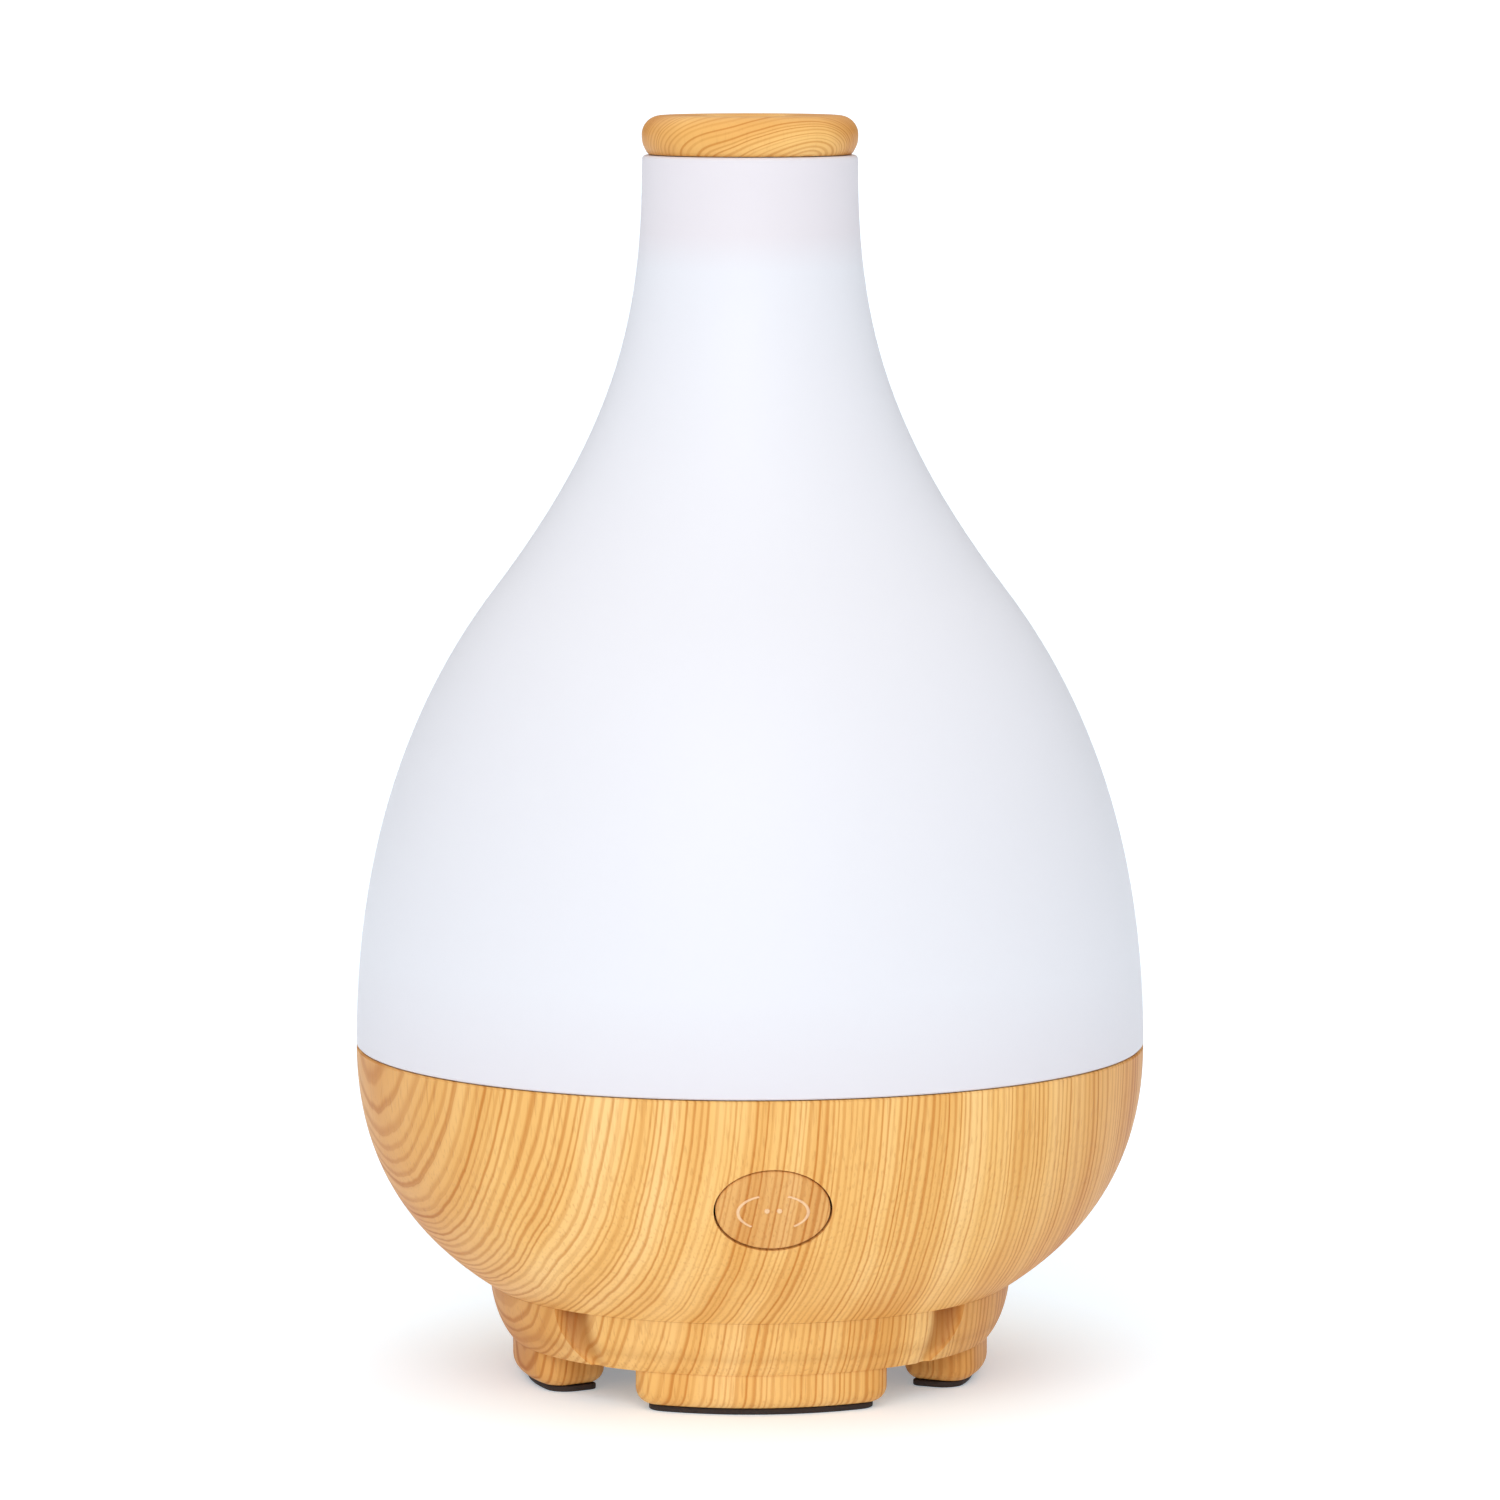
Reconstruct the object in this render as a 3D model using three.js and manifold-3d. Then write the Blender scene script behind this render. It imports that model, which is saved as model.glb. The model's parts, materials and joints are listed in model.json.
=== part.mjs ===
// A cool mist humidifier: wood-grain base and cap, frosted cover, ultrasonic disc and fan inside.
// Millimetres, +Z up. The origin is on the floor under the middle of the base, and the button faces -Y.
import * as THREE from "three";
import { mergeVertices } from "three/addons/utils/BufferGeometryUtils.js";
import Module from "manifold-3d";

const wasm = await Module();
wasm.setup();

// Overall form
const BELLY_RADIUS = 72.5; // widest radius, at the seam of base and cover
const SEAM_HEIGHT = 62;
const SHOULDER_RADIUS = 47; // where the belly's curve hands over to the neck's
const SHOULDER_HEIGHT = 145.5;
const SHOULDER_LEAN = 0.762; // radius lost for each millimetre of height there
const RIM_HEIGHT = 225;
const NECK_RADIUS = 19.7;
const CREASE_RADIUS = 48; // where the bowl meets the foot ring
const CREASE_HEIGHT = 17.8;
const BOWL_FULLNESS = 20 / 44.2; // share of the bowl's height over which its wall nears upright
const RING_FOOT_RADIUS = 44.2;
const RING_FOOT_HEIGHT = 7.7;

// Walls and clearances
const COVER_WALL = 2;
const BOWL_WALL = 2.3;
const TANK_WALL = 2;
const LID_WALL = 1.6;
const CAP_WALL = 1.6;
const REST_GAP = 0.3; // left between pieces that rest on each other
const SLIP = 0.5; // radial room for pieces that lift in and out

// Foot ring, feet and bottom plate
const RING_INSIDE = 41.6;
const PLATE_THICK = 2.5;
const FOOT_INSIDE = 31.5;
const FOOT_ROUND = 3;
const FRONT_FOOT_SPAN = 63; // degrees of the circle, also the rear foot's
const SIDE_FOOT_SPAN = 48;
const PAD_THICK = 1.2;
const PAD_INSIDE = 32.4;
const PAD_OUTSIDE = 41.3;
const PAD_CLEAR_ANGLE = 1.2; // degrees left at each end of a foot
const SCOOP_ANGLE = 53; // degrees from the front or the rear, at the scoop's steep end
const SCOOP_RUN = 14.5; // degrees over which the scoop fades out
const SCOOP_FLOOR = 44.4;

// Tank, lid and mist path
const TANK_CLEAR = 1.25; // at least, mean of the belly's and crease's radii less the tank's outer radius
const TANK_SIDE_CLEAR = 13.5; // at least, belly radius less the tank's outer radius
const TANK_FLOOR = 30; // underside of the tank's floor
const TANK_ROUND = 20; // height of its rounded corner, at most, where the tank is deep enough
const TANK_FLAT_CLEAR = 9; // crease radius less the radius of the tank's flat floor
const FLANGE_DROP = 5.7; // seam down to the flange's underside
const LIP_RISE = 4;
const LIP_CLEAR = 4.6; // belly radius less the lip's outer radius
const DISC_RADIUS = 10;
const DISC_THICK = 1.2;
const WELL_RADIUS = 8.5;
const BOSS_RADIUS = 13.2;
const BOSS_DROP = 4.5;
const RETAINER_THICK = 2.4;
const DUCT_RADIUS = 8;
const DUCT_WALL = 1.5;
const DUCT_RISE = 3; // seam up to the duct's mouth
const DOME_RISE = 26;
const CHIMNEY_RADIUS = 12;
const CHIMNEY_HEIGHT = 30;

// Cap
const CAP_FOOT_RADIUS = NECK_RADIUS - 0.9;
const CAP_RADIUS = NECK_RADIUS + 0.05;
const CAP_TOP_RADIUS = NECK_RADIUS - 3.1;
const CAP_BULGE = 3.6; // rim up to the widest part
const CAP_HEIGHT = 7.2;
const MIST_HOLE = 5;
const DISH_RADIUS = 9;
const DISH_DEPTH = 1;
const PLUG_DEPTH = 15.5;

// Button and its switch
const BUTTON_DROP = 20.5; // seam down to the button's middle
const BUTTON_HALF_WIDTH = 10.15;
const BUTTON_HALF_HEIGHT = 8;
const BUTTON_GAP = 0.35;
const BUTTON_FACE = 2;
const BOARD_DEPTH = 8; // outer surface in to the switch board's face
const BOARD_THICK = 1.2;
const SWITCH_SIDE = 6;
const SWITCH_BODY = 3.4;
const STUD_OFFSET = 13.8;

// Fan, electronics and power socket
const FAN_OFFSET = 26;
const FAN_SIDE = 25;
const FAN_THICK = 10;
const FAN_HEIGHT = 11.5; // underside of the fan's frame
const FAN_HUB = 5.6;
const BLADES = 7;
const MAIN_BOARD_HEIGHT = 13;
const MAIN_BOARD_RADIUS = 33;
const MAIN_BOARD_THICK = 1.4;
const POST_CIRCLE = 38;
const POST_RADIUS = 3.1;
const POST_ANGLE = 49.5; // degrees from the front or the rear
const JACK_SIDE = 9;
const JACK_LENGTH = 12;
const JACK_HEIGHT = 24.5;
const LED_CIRCLE = 22;
const LED_COUNT = 6;
const LED_SPREAD = 210; // degrees of the light board's arc that carries the lamps

// Facets
const WIDE = 40; // sides of the large turned pieces
const MIDDLE = 24;
const SMALL = 12;

const radians = THREE.MathUtils.degToRad;
const point = (x, y) => new THREE.Vector2(x, y);

// Solids

// A closed geometry as a solid, turned right side out.
function solidOf(geometry) {
  const bare = geometry.clone();
  bare.deleteAttribute("normal");
  bare.deleteAttribute("uv");
  const merged = mergeVertices(bare, 1e-4);
  const index = merged.index.array;
  const faces = [];
  for (let i = 0; i < index.length; i += 3) {
    const [a, b, c] = index.slice(i, i + 3);
    if (a !== b && b !== c && c !== a) faces.push(a, b, c);
  }
  const build = (triVerts) =>
    new wasm.Manifold(
      new wasm.Mesh({
        numProp: 3,
        vertProperties: new Float32Array(merged.attributes.position.array),
        triVerts: new Uint32Array(triVerts),
      }),
    );
  const made = build(faces);
  return made.volume() > 0 ? made : build(faces.reverse());
}

function geometryOf(solid) {
  const mesh = solid.getMesh();
  const places = new Float32Array(mesh.numVert * 3);
  for (let i = 0; i < mesh.numVert; i++) {
    places.set(mesh.vertProperties.subarray(i * mesh.numProp, i * mesh.numProp + 3), i * 3);
  }
  const geometry = new THREE.BufferGeometry();
  geometry.setAttribute("position", new THREE.BufferAttribute(places, 3));
  geometry.setIndex(new THREE.BufferAttribute(mesh.triVerts, 1));
  geometry.computeVertexNormals();
  return geometry;
}

// A profile of (radius, height) points turned about the Z axis; a loop off the axis is closed.
function turned(profile, sides = WIDE) {
  const points = profile.map(([r, z]) => point(r, z));
  if (points[0].x > 0) points.push(points[0].clone());
  return solidOf(new THREE.LatheGeometry(points, sides).rotateX(Math.PI / 2));
}

// A plate or prism of a flat outline, from one height to another.
function raised(shape, low, high, curveSegments = 8) {
  const geometry = new THREE.ExtrudeGeometry(shape, { depth: high - low, bevelEnabled: false, curveSegments });
  return solidOf(geometry.translate(0, 0, low));
}

function tube(outer, inner, low, high, sides = MIDDLE) {
  const start = inner || 0;
  return turned([[start, low], [outer, low], [outer, high], [start, high]], sides);
}

function block(sizeX, sizeY, sizeZ, x, y, z) {
  return solidOf(new THREE.BoxGeometry(sizeX, sizeY, sizeZ).translate(x, y, z));
}

const shifted = (solid, x, y, z = 0) => solid.translate([x, y, z]);

function moved(solid, matrix) {
  return solid.transform(matrix.elements);
}

function oval(halfWidth, halfHeight) {
  const shape = new THREE.Shape();
  shape.absellipse(0, 0, halfWidth, halfHeight, 0, Math.PI * 2);
  return shape;
}

function rectangle(width, depth, round) {
  const [x, y] = [width / 2, depth / 2];
  const shape = new THREE.Shape();
  shape.absarc(x - round, y - round, round, 0, Math.PI / 2);
  shape.absarc(round - x, y - round, round, Math.PI / 2, Math.PI);
  shape.absarc(round - x, round - y, round, Math.PI, Math.PI * 1.5);
  shape.absarc(x - round, round - y, round, Math.PI * 1.5, Math.PI * 2);
  return shape;
}

// A piece of a flat ring. Angles are in degrees from the front, towards +X.
function ringPiece(inner, outer, from, to) {
  const [start, end] = [radians(from - 90), radians(to - 90)];
  const shape = new THREE.Shape();
  shape.absarc(0, 0, outer, start, end, false);
  shape.absarc(0, 0, inner, end, start, true);
  return shape;
}

// The place at an angle in degrees from the front, towards +X.
function around(radius, angle) {
  return [radius * Math.sin(radians(angle)), -radius * Math.cos(radians(angle))];
}

// Outlines of the turned body

const bowlCurve = new THREE.CubicBezierCurve(
  point(CREASE_RADIUS, CREASE_HEIGHT),
  point(CREASE_RADIUS + 16, CREASE_HEIGHT + 10),
  point(BELLY_RADIUS, SEAM_HEIGHT - BOWL_FULLNESS * (SEAM_HEIGHT - CREASE_HEIGHT)),
  point(BELLY_RADIUS, SEAM_HEIGHT),
);
const bellyCurve = new THREE.CubicBezierCurve(
  point(BELLY_RADIUS, SEAM_HEIGHT),
  point(BELLY_RADIUS, SEAM_HEIGHT + 37),
  point(SHOULDER_RADIUS + SHOULDER_LEAN * 19.5, SHOULDER_HEIGHT - 19.5),
  point(SHOULDER_RADIUS, SHOULDER_HEIGHT),
);
const neckCurve = new THREE.CubicBezierCurve(
  point(SHOULDER_RADIUS, SHOULDER_HEIGHT),
  point(SHOULDER_RADIUS - SHOULDER_LEAN * 31, SHOULDER_HEIGHT + 31),
  point(NECK_RADIUS, RIM_HEIGHT - 27.5),
  point(NECK_RADIUS, RIM_HEIGHT - 3),
);

// Points along a curve, moved inwards by a wall.
function walled(curve, steps, wall) {
  const points = [];
  for (let i = 0; i <= steps; i++) {
    const at = curve.getPoint(i / steps);
    const along = curve.getTangent(i / steps);
    points.push([at.x - along.y * wall, at.y + along.x * wall]);
  }
  return points;
}

// Where a curve passes a height: its radius and its direction upwards.
function crossing(curve, height) {
  let [low, high] = [0, 1];
  for (let i = 0; i < 40; i++) {
    const middle = (low + high) / 2;
    if (curve.getPoint(middle).y < height) low = middle;
    else high = middle;
  }
  return { radius: curve.getPoint(low).x, along: curve.getTangent(low) };
}

// Materials
const finish = (color, roughness, metalness = 0, opacity = 1) =>
  new THREE.MeshStandardMaterial({ color, roughness, metalness, opacity, transparent: opacity < 1 });
const finishes = {
  frosted: finish(0xf4f6fb, 0.5, 0, 0.85),
  woodGrain: finish(0xe6b878, 0.5),
  buttonWood: finish(0xe0b078, 0.45),
  whitePlastic: finish(0xeeece6, 0.45),
  clearLid: finish(0xe8eef2, 0.35, 0, 0.7),
  rubber: finish(0x2f2320, 0.8),
  silicone: finish(0xd8dadb, 0.6),
  blackPlastic: finish(0x1b1b1d, 0.5),
  circuitBoard: finish(0x1f5a3a, 0.5),
  steel: finish(0xb9bcc0, 0.35, 1),
  aluminium: finish(0xc9ccd0, 0.4, 1),
  brass: finish(0xcfa75a, 0.3, 1),
  copper: finish(0xb5672f, 0.4, 1),
  ceramic: finish(0xe9e4d4, 0.5),
  lamp: finish(0xfff3cf, 0.3),
  sleeve: finish(0x26304f, 0.5),
  cableRed: finish(0xa8322a, 0.5),
  cableWhite: finish(0xdedad2, 0.5),
};

const humidifier = new THREE.Group();

function addPiece(name, solid, material, group = humidifier) {
  const mesh = new THREE.Mesh(geometryOf(solid), material);
  mesh.name = name;
  group.add(mesh);
  return mesh;
}

// The bowl's outer form as one solid, used to trim what follows its surface.
function bowlForm(inset) {
  const outline = walled(bowlCurve, 6, inset);
  const bottom = outline[0];
  const top = outline[outline.length - 1];
  return turned([[0, bottom[1]], ...outline, [0, top[1]]]);
}

// Button's own frame: +Z out of the surface, +X across, at the bowl's outer surface
const buttonHeight = SEAM_HEIGHT - BUTTON_DROP;
const buttonSpot = crossing(bowlCurve, buttonHeight);
const buttonTilt = Math.atan2(buttonSpot.along.x, buttonSpot.along.y);
const buttonGroup = new THREE.Group();
buttonGroup.position.set(0, -buttonSpot.radius, buttonHeight);
buttonGroup.rotation.x = Math.PI / 2 + buttonTilt;
buttonGroup.updateMatrixWorld(true);
humidifier.add(buttonGroup);
const outOfButton = buttonGroup.matrix.clone();
const intoButton = outOfButton.clone().invert();

// Cover

function outerCover() {
  const outside = [...walled(bellyCurve, 6, 0), ...walled(neckCurve, 6, 0).slice(1)];
  const inside = [...walled(bellyCurve, 6, COVER_WALL), ...walled(neckCurve, 6, COVER_WALL).slice(1)];
  outside[0] = [BELLY_RADIUS, SEAM_HEIGHT + REST_GAP / 2];
  inside[0] = [BELLY_RADIUS - COVER_WALL, SEAM_HEIGHT + 1.2];
  // A spigot under the wall drops inside the base's rim.
  const spigotOut = BELLY_RADIUS - BOWL_WALL - SLIP;
  const spigotIn = spigotOut - 1.2;
  const rim = [
    [NECK_RADIUS, RIM_HEIGHT - 1],
    [NECK_RADIUS - 0.3, RIM_HEIGHT - 0.3],
    [NECK_RADIUS - 1, RIM_HEIGHT],
    [NECK_RADIUS - COVER_WALL, RIM_HEIGHT],
  ];
  const foot = [
    [spigotIn, SEAM_HEIGHT + 1.2],
    [spigotIn, SEAM_HEIGHT - 2.8],
    [spigotOut, SEAM_HEIGHT - 2.8],
    [spigotOut, SEAM_HEIGHT + REST_GAP / 2],
  ];
  return turned([...outside, ...rim, ...inside.reverse(), ...foot]);
}
addPiece("outer_cover", outerCover(), finishes.frosted);

// Cap: a wood-grain disc on the rim, with a white plug inside the neck

const capGroup = new THREE.Group();
capGroup.position.z = RIM_HEIGHT;
humidifier.add(capGroup);
const plugRadius = NECK_RADIUS - COVER_WALL - SLIP;
const capRecess = Math.min(plugRadius, CAP_FOOT_RADIUS - 1.5);

function mistCap() {
  const lowerBulge = new THREE.EllipseCurve(
    CAP_RADIUS - CAP_BULGE, CAP_BULGE, CAP_BULGE, CAP_BULGE - REST_GAP, radians(-75), 0,
  );
  const upperBulge = new THREE.EllipseCurve(
    CAP_TOP_RADIUS, CAP_BULGE, CAP_RADIUS - CAP_TOP_RADIUS, CAP_HEIGHT - CAP_BULGE, 0, Math.PI / 2,
  );
  const lower = lowerBulge.getPoints(3).map((at) => [at.x, at.y]);
  const upper = upperBulge.getPoints(4).map((at) => [at.x, at.y]);
  return turned([
    [capRecess + REST_GAP, REST_GAP],
    [CAP_FOOT_RADIUS - 0.6, REST_GAP],
    ...lower.slice(1),
    ...upper.slice(1),
    [DISH_RADIUS, CAP_HEIGHT],
    [MIST_HOLE, CAP_HEIGHT - DISH_DEPTH],
    [MIST_HOLE, REST_GAP + 2.6],
    [capRecess + REST_GAP, REST_GAP + 2.6],
  ], MIDDLE);
}
addPiece("mist_cap", mistCap(), finishes.woodGrain, capGroup);

function capPlug() {
  const inside = plugRadius - CAP_WALL;
  const grooveLow = -PLUG_DEPTH + 5;
  return turned([
    [MIST_HOLE, 2.5], [MIST_HOLE, -6],
    [MIST_HOLE + 1.2, -6], [MIST_HOLE + 1.2, 1.1],
    [inside, 1.1], [inside, -PLUG_DEPTH],
    [plugRadius, -PLUG_DEPTH], [plugRadius, grooveLow],
    [plugRadius - 0.7, grooveLow], [plugRadius - 0.7, grooveLow + 2],
    [plugRadius, grooveLow + 2], [plugRadius, 2.5],
  ], MIDDLE);
}
addPiece("cap_plug", capPlug(), finishes.whitePlastic, capGroup);

const sealLow = -PLUG_DEPTH + 5.3;
addPiece(
  "cap_seal_ring",
  tube(plugRadius + SLIP - 0.2, plugRadius - 0.4, sealLow, sealLow + 1.4),
  finishes.silicone,
  capGroup,
);

// Base: bowl, its rim shelf, screw posts, button studs and power socket shroud

const shelfHeight = SEAM_HEIGHT - FLANGE_DROP - 1 - REST_GAP;
const tankRadius = Math.min(
  (BELLY_RADIUS + CREASE_RADIUS) / 2 - TANK_CLEAR,
  BELLY_RADIUS - TANK_SIDE_CLEAR,
);
const jackFace = CREASE_RADIUS + 3;
const jackTop = JACK_HEIGHT + JACK_SIDE / 2;

function screwPost(angle) {
  const [x, y] = around(POST_CIRCLE, angle);
  const low = RING_FOOT_HEIGHT + PLATE_THICK + REST_GAP;
  const post = shifted(tube(POST_RADIUS, 0, low, CREASE_HEIGHT + 7, SMALL), x, y);
  const ribLength = CREASE_RADIUS + 8 - POST_CIRCLE;
  const rib = block(2.4, ribLength, 5, 0, -POST_CIRCLE - ribLength / 2, CREASE_HEIGHT + 4.5);
  return post.add(rib.rotate([0, 0, angle]));
}

const postAngles = [POST_ANGLE, 180 - POST_ANGLE, 180 + POST_ANGLE, -POST_ANGLE];

function baseBowl() {
  const outside = walled(bowlCurve, 6, 0);
  const inside = walled(bowlCurve, 6, BOWL_WALL);
  outside[outside.length - 1] = [BELLY_RADIUS, SEAM_HEIGHT - REST_GAP / 2];
  const landInside = CREASE_RADIUS - 3;
  const rimInside = BELLY_RADIUS - BOWL_WALL;
  const shelfInside = tankRadius + 1.5;
  const wall = inside.filter(([r, z]) => r > landInside && z < shelfHeight - 5);
  let bowl = turned([
    [landInside, CREASE_HEIGHT],
    ...outside,
    [rimInside, SEAM_HEIGHT - REST_GAP / 2],
    [rimInside, shelfHeight],
    [shelfInside, shelfHeight],
    [shelfInside, shelfHeight - 2],
    [crossing(bowlCurve, shelfHeight - 2.6).radius - BOWL_WALL, shelfHeight - 2.6],
    ...wall.reverse(),
    [landInside, CREASE_HEIGHT + 1],
  ]);
  const form = bowlForm(0.6);
  for (const angle of postAngles) {
    const low = RING_FOOT_HEIGHT + PLATE_THICK + REST_GAP;
    const [x, y] = around(POST_CIRCLE, angle);
    const foot = shifted(tube(POST_RADIUS, 0, low, CREASE_HEIGHT + 2, SMALL), x, y);
    bowl = bowl.add(screwPost(angle).intersect(form).add(foot));
    bowl = bowl.subtract(shifted(tube(1.5, 0, low - 1, CREASE_HEIGHT + 4, SMALL), x, y));
  }
  for (const side of [-1, 1]) {
    const stud = shifted(tube(1.6, 0, REST_GAP - BOARD_DEPTH, 0, SMALL), side * STUD_OFFSET, 0);
    bowl = bowl.add(moved(stud, outOfButton).intersect(form));
  }
  const buttonHole = raised(
    oval(BUTTON_HALF_WIDTH + BUTTON_GAP, BUTTON_HALF_HEIGHT + BUTTON_GAP), -BOARD_DEPTH, 4, 12,
  );
  bowl = bowl.subtract(moved(buttonHole, outOfButton));
  const shroudSide = JACK_SIDE + 2 * REST_GAP + 3;
  const shroudStart = jackFace - 4;
  const shroud = block(shroudSide, 20, shroudSide, 0, shroudStart + 10, JACK_HEIGHT).intersect(form);
  const socketSide = JACK_SIDE + 2 * REST_GAP;
  return bowl.add(shroud).subtract(block(socketSide, 40, socketSide, 0, shroudStart + 19, JACK_HEIGHT));
}
addPiece("base_bowl", baseBowl(), finishes.woodGrain);

// Bottom cover: foot ring with air scoops, plate with vents, four feet

const feet = [
  { name: "front", angle: 0, span: FRONT_FOOT_SPAN },
  { name: "right", angle: 90, span: SIDE_FOOT_SPAN },
  { name: "rear", angle: 180, span: FRONT_FOOT_SPAN },
  { name: "left", angle: 270, span: SIDE_FOOT_SPAN },
];

function footBlock({ angle, span }) {
  const outside = RING_FOOT_RADIUS - 0.3;
  const round = new THREE.EllipseCurve(
    outside - FOOT_ROUND, PAD_THICK + FOOT_ROUND, FOOT_ROUND, FOOT_ROUND, -Math.PI / 2, 0,
  );
  const profile = turned([
    [FOOT_INSIDE, PAD_THICK],
    ...round.getPoints(3).map((at) => [at.x, at.y]),
    [outside, RING_FOOT_HEIGHT + 1],
    [FOOT_INSIDE, RING_FOOT_HEIGHT + 1],
  ], WIDE * 2);
  const sector = ringPiece(FOOT_INSIDE - 1, outside + 2, angle - span / 2, angle + span / 2);
  return profile.intersect(raised(sector, 0, RING_FOOT_HEIGHT + 2, 10));
}

// A scoop: steep at one end, fading out towards the front or the rear.
function airScoop(steep, fade) {
  const wide = CREASE_RADIUS + 4;
  const plan = new THREE.Shape([
    point(...around(SCOOP_FLOOR, steep)),
    point(...around(wide, steep)),
    point(...around(wide, fade)),
    point(...around(CREASE_RADIUS + 0.2, fade)),
  ]);
  return raised(plan, RING_FOOT_HEIGHT - 0.5, CREASE_HEIGHT + 1);
}

function bottomCover() {
  const top = CREASE_HEIGHT - REST_GAP;
  const bulge = new THREE.QuadraticBezierCurve(
    point(RING_FOOT_RADIUS, RING_FOOT_HEIGHT),
    point(CREASE_RADIUS - 0.6, CREASE_HEIGHT - 7),
    point(CREASE_RADIUS, top),
  );
  const spigot = CREASE_RADIUS - 3 - REST_GAP;
  let cover = turned([
    [0, RING_FOOT_HEIGHT],
    ...bulge.getPoints(4).map((at) => [at.x, at.y]),
    [spigot, top],
    [spigot, CREASE_HEIGHT + 1.4],
    [RING_INSIDE, CREASE_HEIGHT + 1.4],
    [RING_INSIDE, RING_FOOT_HEIGHT + PLATE_THICK],
    [0, RING_FOOT_HEIGHT + PLATE_THICK],
  ]);
  for (const side of [SCOOP_ANGLE, -SCOOP_ANGLE, 180 - SCOOP_ANGLE, 180 + SCOOP_ANGLE]) {
    const towardsEnd = Math.cos(radians(side)) > 0 ? -1 : 1;
    const fade = side + towardsEnd * Math.sign(Math.sin(radians(side))) * SCOOP_RUN;
    cover = cover.subtract(airScoop(side, fade));
  }
  for (const foot of feet) cover = cover.add(footBlock(foot));
  for (const angle of postAngles) {
    const [x, y] = around(POST_CIRCLE, angle);
    cover = cover.subtract(shifted(tube(1.9, 0, RING_FOOT_HEIGHT - 1, RING_FOOT_HEIGHT + 4, SMALL), x, y));
    cover = cover.subtract(shifted(tube(3.2, 0, RING_FOOT_HEIGHT - 1, RING_FOOT_HEIGHT + 1.2, SMALL), x, y));
  }
  // Vent slots under the fan, within its round mouth and inside the feet
  const mouth = shifted(tube(FAN_SIDE / 2 - 2, 0, 0, 2 * RING_FOOT_HEIGHT), -FAN_OFFSET, 0);
  const between = mouth.intersect(tube(FOOT_INSIDE - 1, 0, 0, 2 * RING_FOOT_HEIGHT, WIDE));
  for (let offset = -8; offset <= 8; offset += 4) {
    cover = cover.subtract(block(FAN_SIDE, 2, 6, -FAN_OFFSET, offset, RING_FOOT_HEIGHT + 1).intersect(between));
  }
  // Standing posts under the fan and under the main board
  for (const [x, y] of [...fanHoles, ...boardHoles]) {
    const high = x < -8 ? FAN_HEIGHT : MAIN_BOARD_HEIGHT;
    const low = RING_FOOT_HEIGHT + PLATE_THICK - 0.5;
    cover = cover.add(shifted(tube(2.4, 0, low, high - REST_GAP, SMALL), x, y));
    cover = cover.subtract(shifted(tube(1.3, 0, low + 0.1, high + 1, SMALL), x, y));
  }
  return cover;
}
const fanCorner = FAN_SIDE / 2 - 2.5;
const fanHoles = [[-FAN_OFFSET - fanCorner, fanCorner], [-FAN_OFFSET + fanCorner, -fanCorner]];
const boardHoles = [[4, 27], [4, -27], [28, 4]];
addPiece("bottom_cover", bottomCover(), finishes.woodGrain);

// Rubber pads under the feet, with rounded ends
for (const { name, angle, span } of feet) {
  const half = span / 2 - PAD_CLEAR_ANGLE;
  const pad = raised(ringPiece(PAD_INSIDE, PAD_OUTSIDE, angle - half, angle + half), 0, PAD_THICK - 0.1, 10);
  addPiece("foot_pad_" + name, pad, finishes.rubber);
}

// Screws stand on their own axis, head down; a screw group places each
function screw(headRadius, headHeight, shankRadius, length) {
  return turned([
    [0, 0], [headRadius, 0], [headRadius, headHeight],
    [shankRadius, headHeight], [shankRadius, length], [0, length + shankRadius],
  ], 8);
}

function addScrew(name, solid, x, y, z, headUp = false) {
  const mesh = addPiece(name, solid, finishes.steel);
  mesh.position.set(x, y, z);
  if (headUp) mesh.rotation.x = Math.PI;
}

postAngles.forEach((angle, i) => {
  const [x, y] = around(POST_CIRCLE, angle);
  addScrew("base_screw_" + (i + 1), screw(2.8, 1.4, 1.15, 10), x, y, RING_FOOT_HEIGHT - 0.6);
});

// Water tank, with the disc's well and the air duct

const flangeLow = SEAM_HEIGHT - FLANGE_DROP;
const flangeHigh = flangeLow + TANK_WALL;
const bossLow = TANK_FLOOR - BOSS_DROP;
const ductTop = SEAM_HEIGHT + DUCT_RISE;

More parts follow.
